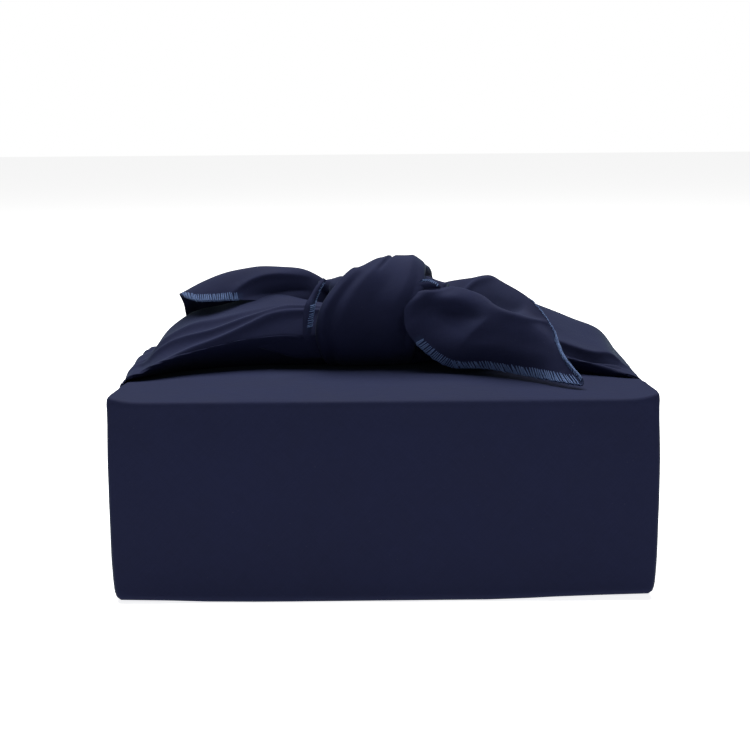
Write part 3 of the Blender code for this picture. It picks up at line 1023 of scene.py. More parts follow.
@dataclass
class WrappedBody:
    """The cloth under the box, up its four sides and over its lid."""

    crown: float = 5.0  # how far the folded flaps lift the cloth in the middle of the lid
    crown_start: float = 1.3  # how soon the crown starts from the lid's ends
    upright_round: tuple[float, float] = (1.8, 7.0)  # along x and y
    least_round: float = 0.9
    corner_steps: int = 7
    side_steps: tuple[int, int] = (92, 60)  # along x and y
    left_swell: float = 1.1  # how much further the left end stands out than the right one
    # height above the floor, and how far the end walls stand in from the full width
    end_inset: Table = (
        (0.0, 2.6), (7.0, 1.2), (14.0, 0.5), (21.0, 0.0), (31.0, -0.4), (51.0, -0.9), (75.0, -1.1),
        (92.0, -0.9), (105.0, -1.0),
    )
    # height above the floor, and how far the wall stands in from the full outline
    wall: Table = (
        (0.0, 2.6), (0.08, 0.9), (0.35, -0.3), (1.1, -1.1), (3.0, -1.5), (7.5, -1.35), (16.0, -1.05),
        (30.0, -0.85), (62.0, -0.65), (88.0, -0.35), (99.0, -0.05), (102.6, 0.0), (104.0, 0.35),
        (104.75, 1.1), (105.0, 2.2),
    )
    # how many rings lie up to which share of the wall's table
    wall_rings: tuple[int, ...] = (0, 15, 36, 49)
    wall_shares: tuple[float, ...] = (0.0, 0.32, 0.86, 1.0)
    bottom_shares: tuple[float, ...] = (0.02, 0.35, 0.7, 0.9)
    lid_shares: tuple[float, ...] = (0.985, 0.96, 0.92, 0.86, 0.78, 0.68, 0.57, 0.45, 0.33, 0.2, 0.08, 0.01)
    # along the front's bottom edge: place, and how far the cloth stands off the floor
    bottom_lift: Table = (
        (-139.5, 1.6), (-112.0, 1.0), (-92.0, 0.3), (-67.0, 0.0), (-47.0, 0.0), (8.0, 0.2), (53.0, 0.35),
        (73.0, 0.95), (88.0, 1.65), (108.0, 2.3), (139.5, 3.1),
    )
    lift_ends: float = 26.0  # the height at which that lift has died away
    corner_rise: tuple[float, float] = (2.6, 3.2)  # how far the pull lifts the lid's two front corners
    rise_starts: float = 118.0  # how far from the middle the corners start to rise
    rise_front: tuple[float, float] = (-25.0, -65.0)  # the y where that starts, and where it is full
    rise_heights: tuple[float, float] = (85.0, 105.0)
    ear_pull: float = 1.4  # how far the ears press the end faces in
    ear_reach: tuple[float, float] = (90.0, 70.0)  # the y where that starts, and where it is full
    ear_edge: tuple[float, float] = (WIDTH / 2 - 3, WIDTH / 2 - 2)  # the same along x
    swell_sizes: tuple[float, float] = (58.0, 19.0)  # of the broad and the small unevenness
    swell_seeds: tuple[float, float] = (3.7, 8.1)
    upright_stretch: float = 0.55  # draws the small unevenness out upwards
    wall_swell: tuple[float, float] = (0.45, 0.10)
    lid_swell: tuple[float, float] = (0.5, 0.14)
    # the heights at which the walls' unevenness starts and stops, and where the lid's starts
    floor_fade: tuple[float, float] = (0.0, 14.0)
    edge_fade: tuple[float, float] = (HEIGHT + 1, HEIGHT - 11)
    lid_fade: tuple[float, float] = (HEIGHT - 0.2, HEIGHT + 0.8)

    def lid_height(self, x: np.ndarray, y: np.ndarray) -> np.ndarray:
        """The height of the cloth on the lid.

        Args:
            x: places along the lid.
            y: places from its front to its back.

        Returns:
            A height above the floor for each place.
        """
        across = np.maximum(0.0, 1 - (2 * x / WIDTH) ** 2)
        along = np.maximum(0.0, 1 - (2 * y / DEPTH) ** 2)
        return HEIGHT + self.crown * np.minimum(1.0, self.crown_start * across) * along

    def _outline(self, inset: float, z: float) -> np.ndarray:
        """A rectangle with round corners.

        Args:
            inset: how far it stands in from the full outline.
            z: its height above the floor.

        Returns:
            Its points, in x and y, starting at the front's right end.
        """
        heights, insets = zip(*self.end_inset)
        right, half_y = WIDTH / 2 - inset - np.interp(z, heights, insets), DEPTH / 2 - inset
        left = right + self.left_swell
        corner_x, corner_y = (max(size - inset, self.least_round) for size in self.upright_round)
        points = []
        for turn, (sign_x, sign_y) in enumerate(((1, -1), (1, 1), (-1, 1), (-1, -1))):
            half_x = right if sign_x > 0 else left
            straight_x, straight_y = sign_x * (half_x - corner_x), sign_y * (half_y - corner_y)
            for k in range(self.corner_steps):
                angle = math.radians(90 * (turn - 1) + 90 * k / self.corner_steps)
                round_x, round_y = corner_x * math.cos(angle), corner_y * math.sin(angle)
                points.append((straight_x + round_x, straight_y + round_y))
            steps = self.side_steps[1 - turn % 2]
            for k in range(steps):
                reach = 1 - 2 * k / steps
                if turn % 2 == 0:
                    points.append((sign_x * half_x, straight_y * reach))
                else:
                    from_left = (1 - sign_x * reach) / 2
                    x = (right - corner_x) * (1 - from_left) - (left - corner_x) * from_left
                    points.append((x, sign_y * half_y))
        return np.array(points)

    def _rings(self) -> np.ndarray:
        """Goes round the taut body, from the middle of the bottom to the middle of the lid.

        Returns:
            The rings, as a grid of points.
        """
        lowest = self._outline(self.wall[0][1], 0.0)
        rings = [np.column_stack([lowest * share, np.zeros(len(lowest))]) for share in self.bottom_shares]
        stations = np.interp(np.arange(self.wall_rings[-1] + 1), self.wall_rings, self.wall_shares)
        profile = smooth_rows(self.wall, stations)
        for z, inset in profile:
            flat = self._outline(inset, z)
            rings.append(np.column_stack([flat, np.full(len(flat), z)]))
        edge = self._outline(profile[-1][1], HEIGHT)
        for share in self.lid_shares:
            x, y = (edge * share).T
            rings.append(np.column_stack([x, y, self.lid_height(x, y)]))
        return np.array(rings)

    def _loosen(self, rings: np.ndarray) -> np.ndarray:
        """Makes the taut cloth uneven: a little off the floor in places, softly rippled and puckered.

        Args:
            rings: the taut body's rings.

        Returns:
            The uneven body's rings.
        """
        x, y, z = np.moveaxis(rings, 2, 0)
        loose = rings.copy()
        places, lifts = zip(*self.bottom_lift)
        at_front = fade(-y, 0, DEPTH / 2) ** 4
        loose[..., 2] += np.interp(x, places, lifts) * at_front * fade(z, self.lift_ends, 0) ** 1.5
        at_corner = fade(np.abs(x), self.rise_starts, WIDTH / 2) ** 3 * fade(y, *self.rise_front)
        loose[..., 2] += np.where(x < 0, *self.corner_rise) * at_corner * fade(z, *self.rise_heights) ** 2
        under_ear = fade(np.abs(y), *self.ear_reach) * fade(np.abs(x), *self.ear_edge)
        loose[..., 0] -= self.ear_pull * np.sign(x) * under_ear
        on_wall = fade(z, *self.floor_fade) * fade(z, *self.edge_fade)
        on_lid = fade(z, *self.lid_fade)
        swell = np.zeros_like(z)
        for k, stretch in enumerate((1.0, self.upright_stretch)):
            uneven = soft_noise(rings * (1.0, 1.0, stretch), self.swell_sizes[k], self.swell_seeds[k])
            swell += uneven * (self.wall_swell[k] * on_wall + self.lid_swell[k] * on_lid)
        return loose - swell[..., None] * grid_normals(rings)

    def build(self, shop: Workshop) -> bpy.types.Object:
        """Builds and dresses the body.

        Args:
            shop: the finishes.

        Returns:
            The piece.
        """
        sheet = Sheet(self._loosen(self._rings()))
        thing = place("wrapped_body", sheet.mesh("wrapped_body", round_columns=True))
        self._map_by_faces(thing.data)
        thicken(thing)
        shop.finish_cloth(thing)
        return thing

    @staticmethod
    def _map_by_faces(mesh: bpy.types.Mesh) -> None:
        """Maps the weave straight onto each side of the box, so that it runs on over the edges.

        Args:
            mesh: the body's mesh.
        """
        layer = mesh.uv_layers[CLOTH_MAP]
        for face in mesh.polygons:
            axis = max(range(3), key=lambda k: abs(face.normal[k]))
            for corner in face.loop_indices:
                x, y, z = mesh.vertices[mesh.loops[corner].vertex_index].co
                layer.data[corner].uv = ((y, z), (x, z), (x, y))[axis]


@dataclass
class BackFlap:
    """The back flap, which comes forward over the lid and ends in a fold under the knot."""

    lid: WrappedBody
    steps: tuple[int, int] = (60, 120)  # from the back forward, and from side to side
    side_margin: float = 9.0
    back_margin: float = 1.2
    fold_y: float = 14.0
    slant: float = 7.0  # how much further forward the fold reaches at its left end
    gap: float = 1.6
    gap_opens: float = 0.08  # the share of its length over which it rises off the lid
    swells: Table = ((0.35, 42.0, 5.3), (0.12, 15.0, 1.3))  # how far each stands out, its size and its seed
    fold_radius: float = 0.75
    fold_steps: int = 8
    turned_rows: int = 13  # how many rows of cloth lie under the fold
    thickness: float = 0.6

    def build(self, shop: Workshop) -> bpy.types.Object:
        """Builds and dresses the flap.

        Args:
            shop: the finishes.

        Returns:
            The piece.
        """
        along, across = (np.linspace(0, 1, steps) for steps in self.steps)
        half = WIDTH / 2 - self.side_margin
        behind = DEPTH / 2 - self.back_margin
        x = half * (2 * across - 1)[None, :] + 0 * along[:, None]
        fold_y = self.fold_y - self.slant * (1 - across)[None, :]
        y = behind + (fold_y - behind) * along[:, None]
        z = self.lid.lid_height(x, y) + self.gap * fade(along, 0, self.gap_opens)[:, None] ** 0.7
        points = np.stack([x, y, z], axis=2)
        points[..., 2] += sum(out * soft_noise(points, size, seed) for out, size, seed in self.swells)
        # The cloth turns under at the fold.
        angles = math.pi * np.arange(1, self.fold_steps + 1)[:, None] / self.fold_steps
        turned = np.repeat(points[-1:], self.fold_steps, axis=0)
        turned[..., 1] -= self.fold_radius * np.sin(angles)
        turned[..., 2] -= self.fold_radius * (1 - np.cos(angles))
        under = points[-self.turned_rows - 1 : -1][::-1].copy()
        under[..., 2] -= 2 * self.fold_radius
        sheet = Sheet(np.concatenate([points, turned, under]))
        thing = place("back_flap", sheet.mesh("back_flap", flip=True))
        thicken(thing, self.thickness)
        shop.finish_cloth(thing)
        return thing


@dataclass
class Ear:
    """An ear: it goes up the end face, turns over the lid's edge and runs, in folds, up to the knot.

    Each row of the table says, from the ear's foot to the knot: x; rim, how high its front edge is above the
    lid's edge; drop, how much lower its back edge is; rise, how far it arches above them; front and back,
    where its two edges are; lean, the way that its folds stand out, 90 outwards and 0 upwards; fold, the
    share of its folds' height; packed, the share of its rise that gathered cloth fills from above.
    """

    side: Side
    rows: Table
    creases: Sequence[Crease]
    seed: float
    steps: tuple[int, int] = (170, 150)
    edge_crowding: float = 0.45  # how far the columns crowd to both edges
    arch_power: float = 2.4
    arch_round: float = 0.72
    lip: tuple[float, float] = (0.022, 0.048)  # the share turned in underneath, by the end face and the knot
    lip_places: tuple[float, float] = (0.6, 0.8)  # where along the ear that share changes
    lip_height: float = 6.0  # how high the rim stands where all of the lip is turned in
    turn_in: float = 24.0  # how far that goes in
    turn_down: float = 0.9  # how far it drops to the lid, as a share of the rim's height
    turn_curl: float = 1.5
    swell: float = 0.45
    swell_size: float = 23.0
    least_swell: float = 0.15  # the share of the swell that is left on the end face
    comes_free: tuple[float, float] = (0.1, 0.4)  # where along the ear it leaves the end face
    ripple: float = 0.25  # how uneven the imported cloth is, as a share of its depth
    ripple_size: float = 9.0
    ripple_stretch: tuple[float, float, float] = (0.4, 1.0, 1.0)  # draws the ripples out along the ear

    @property
    def name(self) -> str:
        """The piece's name."""
        return f"{self.side.name.lower()}_ear"

    def surface(self, along: np.ndarray, across: np.ndarray) -> tuple[np.ndarray, np.ndarray]:
        """The ear with its folds.

        Args:
            along: the places from its foot to the knot.
            across: the places from its front edge to its back edge.

        Returns:
            A grid of points, and how deep the cloth is packed under each.
        """
        columns = (column[:, None] for column in smooth_rows(self.rows, along).T)
        x, rim, drop, rise, front, back, lean, fold, packed = columns
        arch = (1 - np.abs(2 * across - 1) ** self.arch_power) ** self.arch_round
        relief, hanging = (fold * part for part in crease_heights(self.creases, along, across))
        lean = np.radians(np.clip(lean, 0, 90))
        above = rise * arch + np.cos(lean) * relief
        lip = np.interp(along, self.lip_places, self.lip)[:, None]
        tucked = (fade(across, lip, 0) * fade(rim, 0, self.lip_height)) ** self.turn_curl
        points = [
            self.side.value * (x + np.sin(lean) * relief),
            front + (back - front) * across - hanging + self.turn_in * tucked,
            HEIGHT + rim - drop * across + above - self.turn_down * rim * tucked,
        ]
        return np.stack(points, axis=2), packed * above * fade(across, lip, 2 * lip)

    def build(self, shop: Workshop) -> bpy.types.Object:
        """Builds and dresses the ear.

        Args:
            shop: the finishes.

        Returns:
            The piece.
        """
        along, across = (np.linspace(0, 1, steps) for steps in self.steps)
        crowded = (1 - np.cos(math.pi * across)) / 2
        across = self.edge_crowding * crowded + (1 - self.edge_crowding) * across
        points, filled = self.surface(along, across)
        out = float(self.side.value)
        free = np.maximum(self.least_swell, fade(along, *self.comes_free))[:, None]
        swell = self.swell * soft_noise(points, self.swell_size, self.seed) * free
        points = points + swell[..., None] * out * grid_normals(points)
        inner = points - SHEET * out * grid_normals(points)
        uneven = soft_noise(inner * self.ripple_stretch, self.ripple_size, self.seed + 3)
        inner[..., 2] -= filled * (1 + self.ripple * uneven)
        thing = place(self.name, Sheet(points).mesh(self.name, flip=self.side is Side.LEFT, inner=inner))
        thing.data.set_sharp_from_angle(angle=SHARP_ANGLE)
        shop.finish_cloth(thing)
        return thing


@dataclass
class KnotStrand:
    """One strand of the square knot, packed cloth that runs on from an ear, goes round the other strand and
    comes out as a tail. The path is the right-hand one, about the knot's middle."""

    side: Side
    path: Table
    folds: Sequence[Crease]
    seed: float
    steps: tuple[int, int] = (120, 132)  # along the strand and round it
    boxiness: float = 0.8
    swell: float = 0.5
    swell_size: float = 14.0

    @property
    def name(self) -> str:
        """The piece's name."""
        return f"{self.side.name.lower()}_knot_strand"

    def build(self, shop: Workshop) -> bpy.types.Object:
        """Builds and dresses the strand.

        Args:
            shop: the finishes.

        Returns:
            The piece.
        """
        along = np.linspace(0, 1, self.steps[0])
        around = np.linspace(0, 1, self.steps[1], endpoint=False)
        x, y, z, half_width, half_thick = smooth_rows(self.path, along).T
        centre = np.stack([x, y, z], axis=1)
        tangent = unit(np.gradient(centre, axis=0))
        outward = centre * (0, 1, 1)
        outward = unit(outward - (outward * tangent).sum(axis=1, keepdims=True) * tangent)
        sideways = np.cross(tangent, outward)
        # Around 0 is the middle of the inner side, 0.25 the right edge, 0.5 the middle of the face.
        angle = 2 * math.pi * (around - 0.25)
        turns = np.array([np.cos(angle), np.sin(angle)])
        wide, thick = np.sign(turns) * np.abs(turns) ** self.boxiness
        points = (
            centre[:, None]
            + (half_width[:, None] * wide)[..., None] * sideways[:, None]
            + (half_thick[:, None] * thick)[..., None] * outward[:, None]
        )
        round_it = np.roll(points, -1, axis=1) - np.roll(points, 1, axis=1)
        normals = unit(np.cross(np.gradient(points, axis=0), round_it))
        normals *= np.sign((normals * (points - centre[:, None])).sum(axis=2).mean())
        height, _ = crease_heights(self.folds, along, around)
        points = points + height[..., None] * normals
        points = points + (self.swell * soft_noise(points, self.swell_size, self.seed))[..., None] * normals
        if self.side is Side.LEFT:
            points = points * (-1, -1, 1)
        thing = place(self.name, Sheet(points + KNOT_MIDDLE).mesh(self.name, round_columns=True))
        self._close(thing.data)
        shop.finish_cloth(thing)
        return thing

    @staticmethod
    def _close(mesh: bpy.types.Mesh) -> None:
        """Closes both ends of the strand and turns its faces outwards.

        Args:
            mesh: the strand's mesh.
        """
        shape = bmesh.new()
        shape.from_mesh(mesh)
        bmesh.ops.holes_fill(shape, edges=[edge for edge in shape.edges if edge.is_boundary], sides=0)
        bmesh.ops.recalc_face_normals(shape, faces=shape.faces)
        shape.to_mesh(mesh)
        shape.free()


@dataclass
class Tail:
    """A tail of the knot, which is a corner of the cloth. Each row of the table is a line across it, from its
    root in the knot to its tip, and each of its points is x, y, z."""

    name: str
    rows: Sequence[Table]
    creases: Sequence[Crease]
    hems: Sequence[Hem]
    flat: tuple[float, float]
    area: float
    out: float
    seed: float
    steps: tuple[int, int] = (150, 110)
    insets: Sequence[float] = (-0.9, 0.0, 1.0, 2.0, 3.0, 4.0, 5.0, 6.2)
    swell: float = 0.35
    swell_size: float = 16.0
    held_root: float = 0.3  # the share of its length over which the knot's hold on it dies away
    hem_blur: tuple[float, float] = (0.02, 0.4)  # how softly the hem's mask ends, along as a share and across

    def build(self, shop: Workshop) -> list[bpy.types.Object]:
        """Builds and dresses the tail and sews its hems.

        Args:
            shop: the finishes and the stitches.

        Returns:
            The tail, then its stitches.
        """
        along, across = (np.linspace(0, 1, steps) for steps in self.steps)
        lines = smooth_rows(self.rows, along).reshape(len(along), -1, 3)
        sheet = Sheet(np.stack([smooth_rows(line, across) for line in lines]))
        sheet.fold(self.creases, along, across, self.out)
        swell = self.swell * soft_noise(sheet.points, self.swell_size, self.seed)
        free = fade(along, 0, self.held_root)[:, None]
        sheet.points += (swell * free)[..., None] * grid_normals(sheet.points)
        sheet.hem = self._hem_mask(sheet.points, along)
        thing = place(self.name, sheet.mesh(self.name, flip=self.out < 0))
        thicken(thing)
        shop.finish_cloth(thing)
        sewn = [self._sew(hem, sheet.points, shop) for hem in self.hems]
        return [thing, *sewn]

    def _hem_mask(self, points: np.ndarray, along: np.ndarray) -> np.ndarray:
        """How far each point lies under the stitches, from 0 to 1.

        Args:
            points: the tail's grid.
            along: the places of its rows.

        Returns:
            The mask, as a grid.
        """
        mask = np.zeros(points.shape[:2])
        near = distances(points)
        ends, side = self.hem_blur
        for hem in self.hems:
            inside = near if not hem.far_side else near[:, -1:] - near
            on_edge = fade(along, hem.first - ends, hem.first) * fade(along, hem.last + ends, hem.last)
            mask = np.maximum(mask, fade(inside, hem.width + side, hem.width - side) * on_edge[:, None])
        return mask

    def _sew(self, hem: Hem, points: np.ndarray, shop: Workshop) -> bpy.types.Object:
        """Sews one hem.

        Args:
            hem: the edge.
            points: the tail's grid.
            shop: the stitches.

        Returns:
            The stitches' piece.
        """
        strip = edge_strip(points, hem, self.insets)
        if (self.out < 0) != hem.far_side:
            strip = strip[::-1]
        thing = shop.stitches.sew(f"{self.name}_{hem.name}_stitches", strip, self.insets, hem)
        shop.settle(thing)
        return thing


# --------------------------------------------------------------------------------------------- studio


@dataclass
class Studio:
    """The pale floor, the soft light and the camera."""

    camera_place: tuple[float, float, float] = (0.0, -0.941, 0.250)
    horizon_drop: float = 264.0  # pixels from the picture's middle up to the horizon
    focal_pixels: float = 1685.0
    picture: float = 750.0
    middle_pixel: float = 384.0
    roll: float = math.radians(-0.42)
    surroundings: float = 0.06
    lamp_place: tuple[float, float, float] = (-0.08, 0.42, 2.0)
    lamp_size: float = 1.6
    lamp_watts: float = 63.0
    lamp_aim: tuple[float, float, float] = (0.0, 0.0, 0.08)
    floor_x: tuple[float, float] = (-6.0, 6.0)
    floor_y: tuple[float, ...] = (-3.0, 0.0, 3.0, 9.0)
    floor_glow: float = 0.86

    def build(self) -> None:
        """Makes the floor, the surroundings, the light and the camera."""
        self._floor()
        self._surroundings()
        self._lamp()
        self._camera()
        bpy.context.scene.view_settings.view_transform = "Standard"

    def _floor(self) -> None:
        """The pale floor: evenly white to the camera; to the bundle it gives back light and also glows,
        lighting it from below.
        """
        points = np.array([[(x, y, 0.0) for x in np.linspace(*self.floor_x, 9)] for y in self.floor_y]) / MM
        thing = place("floor", Sheet(points).mesh("floor", flip=True))
        material, sketch, shader = start_material("pale_floor")
        grain = sketch.add("ShaderNodeTexNoise", Vector=sketch.own_place(), Scale=35.0, Detail=3.0).outputs[0]
        seen = sketch.add("ShaderNodeLightPath").outputs["Is Camera Ray"]
        sketch.feed(
            shader,
            Base_Color=sketch.mix(seen, grey(0.50), sketch.mix(grain, grey(0.93), grey(0.96))),
            # The floor glows though it is no lamp: fully to the camera, and more dimly for the light that
            # reaches the bundle from below.
            Emission_Color=sketch.mix(seen, grey(0.78), grey(1.0)),
            Emission_Strength=self.floor_glow,
            Roughness=0.9,
            Specular_IOR_Level=0.1,
        )
        thing.data.materials.append(material)

    def _surroundings(self) -> None:
        """Even pale light from all round."""
        world = bpy.data.worlds.new("studio")
        world.use_nodes = True
        sketch = NodeSketch(world.node_tree)
        seen = sketch.add("ShaderNodeLightPath").outputs["Is Camera Ray"]
        sky = world.node_tree.nodes["Background"]
        sketch.feed(sky, Color=grey(1.0), Strength=sketch.scaled(seen, self.surroundings, 1.0))
        bpy.context.scene.world = world

    def _lamp(self) -> None:
        """A square soft light, overhead and a little behind, that faces the bundle."""
        lamp = bpy.data.lights.new("overhead_softbox", "AREA")
        lamp.size = self.lamp_size
        lamp.energy = self.lamp_watts
        thing = bpy.data.objects.new("overhead_softbox", lamp)
        thing.location = self.lamp_place
        facing = Vector(self.lamp_aim) - Vector(self.lamp_place)
        thing.rotation_euler = facing.to_track_quat("-Z", "Y").to_euler()
        bpy.context.scene.collection.objects.link(thing)

    def _camera(self) -> None:
        """The camera, with a slight tilt down and roll."""
        lens = bpy.data.cameras.new("camera")
        lens.sensor_width = 36.0
        lens.lens = self.focal_pixels / self.picture * lens.sensor_width
        lens.shift_x = -(self.middle_pixel - self.picture / 2) / self.picture
        lens.clip_end = 20.0
        thing = bpy.data.objects.new("camera", lens)
        thing.location = self.camera_place
        tilt = math.pi / 2 - math.atan(self.horizon_drop / self.focal_pixels)
        thing.rotation_euler = (tilt, 0.0, 0.0)
        thing.rotation_euler.rotate_axis("Z", self.roll)
        bpy.context.scene.collection.objects.link(thing)
        bpy.context.scene.camera = thing


# --------------------------------------------------------------------------------------------- tables

# x, rim, drop, rise, front, back, lean, fold, packed
LEFT_EAR_ROWS = (
    (140.5, -98.0, 0.0, 0.0, -82.0, 88.0, 90.0, 0.0, 0.0),
    (141.6, -76.0, 0.0, 0.0, -80.0, 88.0, 90.0, 0.3, 0.0),
    (141.9, -46.0, 0.0, 0.0, -76.0, 87.0, 90.0, 0.45, 0.0),
    (141.6, -17.0, 0.0, 0.0, -62.0, 83.0, 86.0, 0.6, 0.0),
    (141.0, -2.0, 0.0, 0.2, -50.0, 79.0, 66.0, 0.65, 0.0),
    (138.8, 1.6, 0.0, 2.4, -43.0, 77.0, 45.0, 0.75, 0.0),
    (131.5, 2.8, 1.6, 5.2, -38.0, 75.0, 25.0, 0.9, 0.1),
    (121.5, 4.6, 3.6, 16.6, -34.0, 73.0, 8.0, 1.0, 0.3),
    (108.5, 6.8, 5.8, 24.0, -31.0, 69.0, 0.0, 1.0, 0.5),
    (92.0, 9.4, 8.4, 27.2, -28.5, 63.0, 0.0, 1.0, 0.65),
    (75.0, 11.8, 10.8, 31.0, -27.5, 56.0, 0.0, 1.0, 0.75),
    (58.0, 13.6, 12.4, 32.8, -27.5, 48.0, 0.0, 0.9, 0.9),
    (44.0, 14.0, 10.6, 30.2, -27.0, 36.0, 0.0, 0.8, 1.0),
    (28.0, 15.0, 8.0, 26.2, -24.0, 24.0, 0.0, 0.5, 1.0),
)
RIGHT_EAR_ROWS = (
    (139.4, -98.0, 0.0, 0.0, -82.0, 88.0, 90.0, 0.0, 0.0),
    (140.6, -76.0, 0.0, 0.0, -80.0, 88.0, 90.0, 0.3, 0.0),
    (140.9, -46.0, 0.0, 0.0, -76.0, 87.0, 90.0, 0.4, 0.0),
    (140.2, -17.0, 0.0, 0.0, -62.0, 83.0, 86.0, 0.3, 0.0),
    (139.4, -2.0, 0.0, 0.0, -52.0, 79.0, 66.0, 0.2, 0.0),
    (137.6, 0.8, 0.0, 0.4, -46.0, 77.0, 45.0, 0.2, 0.0),
    (132.5, 1.9, 0.6, 4.0, -41.0, 76.0, 25.0, 0.6, 0.1),
    (122.5, 1.4, 0.4, 15.8, -37.0, 74.0, 8.0, 0.9, 0.3),
    (108.5, 2.4, 1.4, 20.8, -36.0, 69.0, 0.0, 1.0, 0.5),
    (92.0, 5.0, 4.0, 26.5, -34.0, 63.0, 0.0, 1.0, 0.65),
    (75.0, 11.0, 10.0, 29.8, -28.0, 54.0, 0.0, 1.0, 0.75),
    (58.0, 13.5, 12.2, 30.5, -26.0, 45.0, 0.0, 0.85, 0.9),
    (44.0, 15.0, 11.0, 27.5, -22.0, 32.0, 0.0, 0.6, 1.0),
    (28.0, 17.0, 8.0, 22.0, -15.0, 18.0, 0.0, 0.3, 1.0),
)
LEFT_EAR_CREASES = (
    Crease(
        ((0.30, 0.0, 0.0), (0.40, 0.0, 1.2), (0.475, 0.008, 2.0), (0.585, 0.023, 2.6),
         (0.639, 0.033, 2.8), (0.692, 0.050, 3.0), (0.726, 0.058, 3.2), (0.766, 0.072, 3.4),
         (0.806, 0.094, 3.6), (0.833, 0.115, 3.6), (0.88, 0.145, 3.4), (0.94, 0.19, 3.0), (1.0, 0.24, 2.5)),
        near=0.022, far=0.022, sharp=1.25, lean=0.35,
    ),
    Crease(
        ((0.10, 0.05, 0.0), (0.30, 0.12, 1.2), (0.42, 0.20, 2.0), (0.498, 0.22, 2.6),
         (0.56, 0.165, 3.0), (0.599, 0.145, 3.2), (0.639, 0.143, 3.2), (0.679, 0.125, 3.2),
         (0.719, 0.118, 3.2), (0.759, 0.127, 3.2), (0.803, 0.140, 3.2), (0.84, 0.155, 3.2),
         (0.896, 0.20, 3.2), (0.94, 0.24, 2.8), (1.0, 0.28, 2.0)),
        near=0.024, far=0.026, sharp=1.3, lean=0.30,
    ),
    Crease(
        ((0.20, 0.20, 0.0), (0.40, 0.30, 1.4), (0.50, 0.31, 2.4), (0.56, 0.27, 3.0),
         (0.612, 0.238, 3.2), (0.666, 0.222, 3.2), (0.70, 0.220, 2.8), (0.726, 0.208, 2.4),
         (0.803, 0.195, 1.8), (0.86, 0.215, 1.0), (0.92, 0.25, 0.0)),
        near=0.030, far=0.055, sharp=1.4, lean=0.15,
    ),
    Crease(
        ((0.0, 0.35, 0.5), (0.30, 0.45, 2.0), (0.45, 0.50, 3.2), (0.60, 0.52, 4.2), (0.66, 0.51, 4.4),
         (0.722, 0.51, 4.2), (0.766, 0.465, 3.8), (0.813, 0.445, 3.4), (0.876, 0.40, 2.8),
         (0.94, 0.43, 2.0), (1.0, 0.45, 1.5)),
        near=0.12, far=0.10, sharp=1.8,
    ),
    Crease(
        ((0.0, 0.93, 1.0), (0.20, 0.84, 2.4), (0.43, 0.735, 3.6), (0.70, 0.735, 3.8),
         (0.90, 0.735, 3.4), (1.0, 0.74, 2.5)),
        near=0.05, far=0.045, sharp=1.4,
    ),
    Crease(
        ((0.0, 1.02, 1.0), (0.20, 0.96, 2.0), (0.43, 0.90, 3.0), (0.70, 0.885, 3.2), (0.90, 0.88, 2.8),
         (1.0, 0.88, 2.0)),
        near=0.045, far=0.04, sharp=1.4,
    ),
)
RIGHT_EAR_CREASES = (
    Crease(
        ((0.36, 0.02, 0.0), (0.45, 0.05, 1.0), (0.545, 0.060, 1.8), (0.602, 0.036, 2.4),
         (0.635, 0.027, 2.8), (0.679, 0.032, 2.8), (0.75, 0.05, 2.4), (0.88, 0.10, 2.0), (1.0, 0.15, 1.5)),
        near=0.028, far=0.012, sharp=1.7,
    ),
    Crease(
        ((0.50, 0.11, 0.0), (0.565, 0.088, -1.6), (0.609, 0.056, -2.0), (0.635, 0.048, -1.8),
         (0.662, 0.046, -1.4), (0.70, 0.05, -1.0), (0.78, 0.07, 0.0)),
        near=0.010, far=0.012,
    ),
    Crease(
        ((0.30, 0.20, 0.0), (0.42, 0.19, 1.6), (0.50, 0.16, 2.4), (0.555, 0.135, 3.0),
         (0.585, 0.125, 3.4), (0.629, 0.090, 3.6), (0.652, 0.088, 3.6), (0.682, 0.093, 3.4),
         (0.75, 0.11, 3.0), (0.88, 0.16, 2.6), (1.0, 0.22, 2.0)),
        near=0.020, far=0.055, sharp=1.3, lean=0.6,
    ),
    Crease(
        ((0.0, 0.40, 0.5), (0.30, 0.45, 2.0), (0.45, 0.50, 3.2), (0.60, 0.52, 4.4), (0.722, 0.52, 4.4),
         (0.85, 0.46, 3.2), (1.0, 0.46, 1.5)),
        near=0.15, far=0.10, sharp=2.0,
    ),
    Crease(
        ((0.0, 0.94, 1.0), (0.20, 0.82, 2.6), (0.34, 0.72, 3.6), (0.55, 0.70, 4.2), (0.75, 0.70, 4.2),
         (0.90, 0.70, 3.6), (1.0, 0.70, 2.5)),
        near=0.06, far=0.05, sharp=1.5, lean=-0.15,
    ),
    Crease(
        ((0.0, 1.02, 1.0), (0.20, 0.96, 2.0), (0.43, 0.89, 3.0), (0.70, 0.875, 3.0),
         (0.90, 0.865, 2.6), (1.0, 0.86, 2.0)),
        near=0.045, far=0.04, sharp=1.4,
    ),
)

# x, y, z, half_width, half_thick, about the knot's middle
STRAND_PATH = (
    (52.0, 4.0, -5.0, 12.0, 9.0),
    (30.0, 4.0, -8.0, 13.0, 10.0),
    (12.0, 4.0, -12.0, 14.0, 9.5),
    (3.0, 7.0, -18.0, 17.0, 8.0),
    (-4.0, -4.0, -23.0, 22.0, 6.5),
    (-8.5, -18.0, -17.0, 26.5, 6.0),
    (-9.0, -24.5, -2.0, 27.5, 5.0),
    (-5.0, -24.8, 9.0, 23.8, 4.5),
    (2.5, -21.5, 18.7, 21.5, 5.0),
    (9.0, -9.5, 27.2, 15.0, 6.0),
    (11.0, 6.0, 21.5, 11.5, 8.0),
    (16.0, 3.0, 14.0, 11.0, 8.0),
    (24.0, -6.0, 13.0, 10.0, 6.0),
    (34.0, -11.0, 13.0, 8.0, 2.5),
)
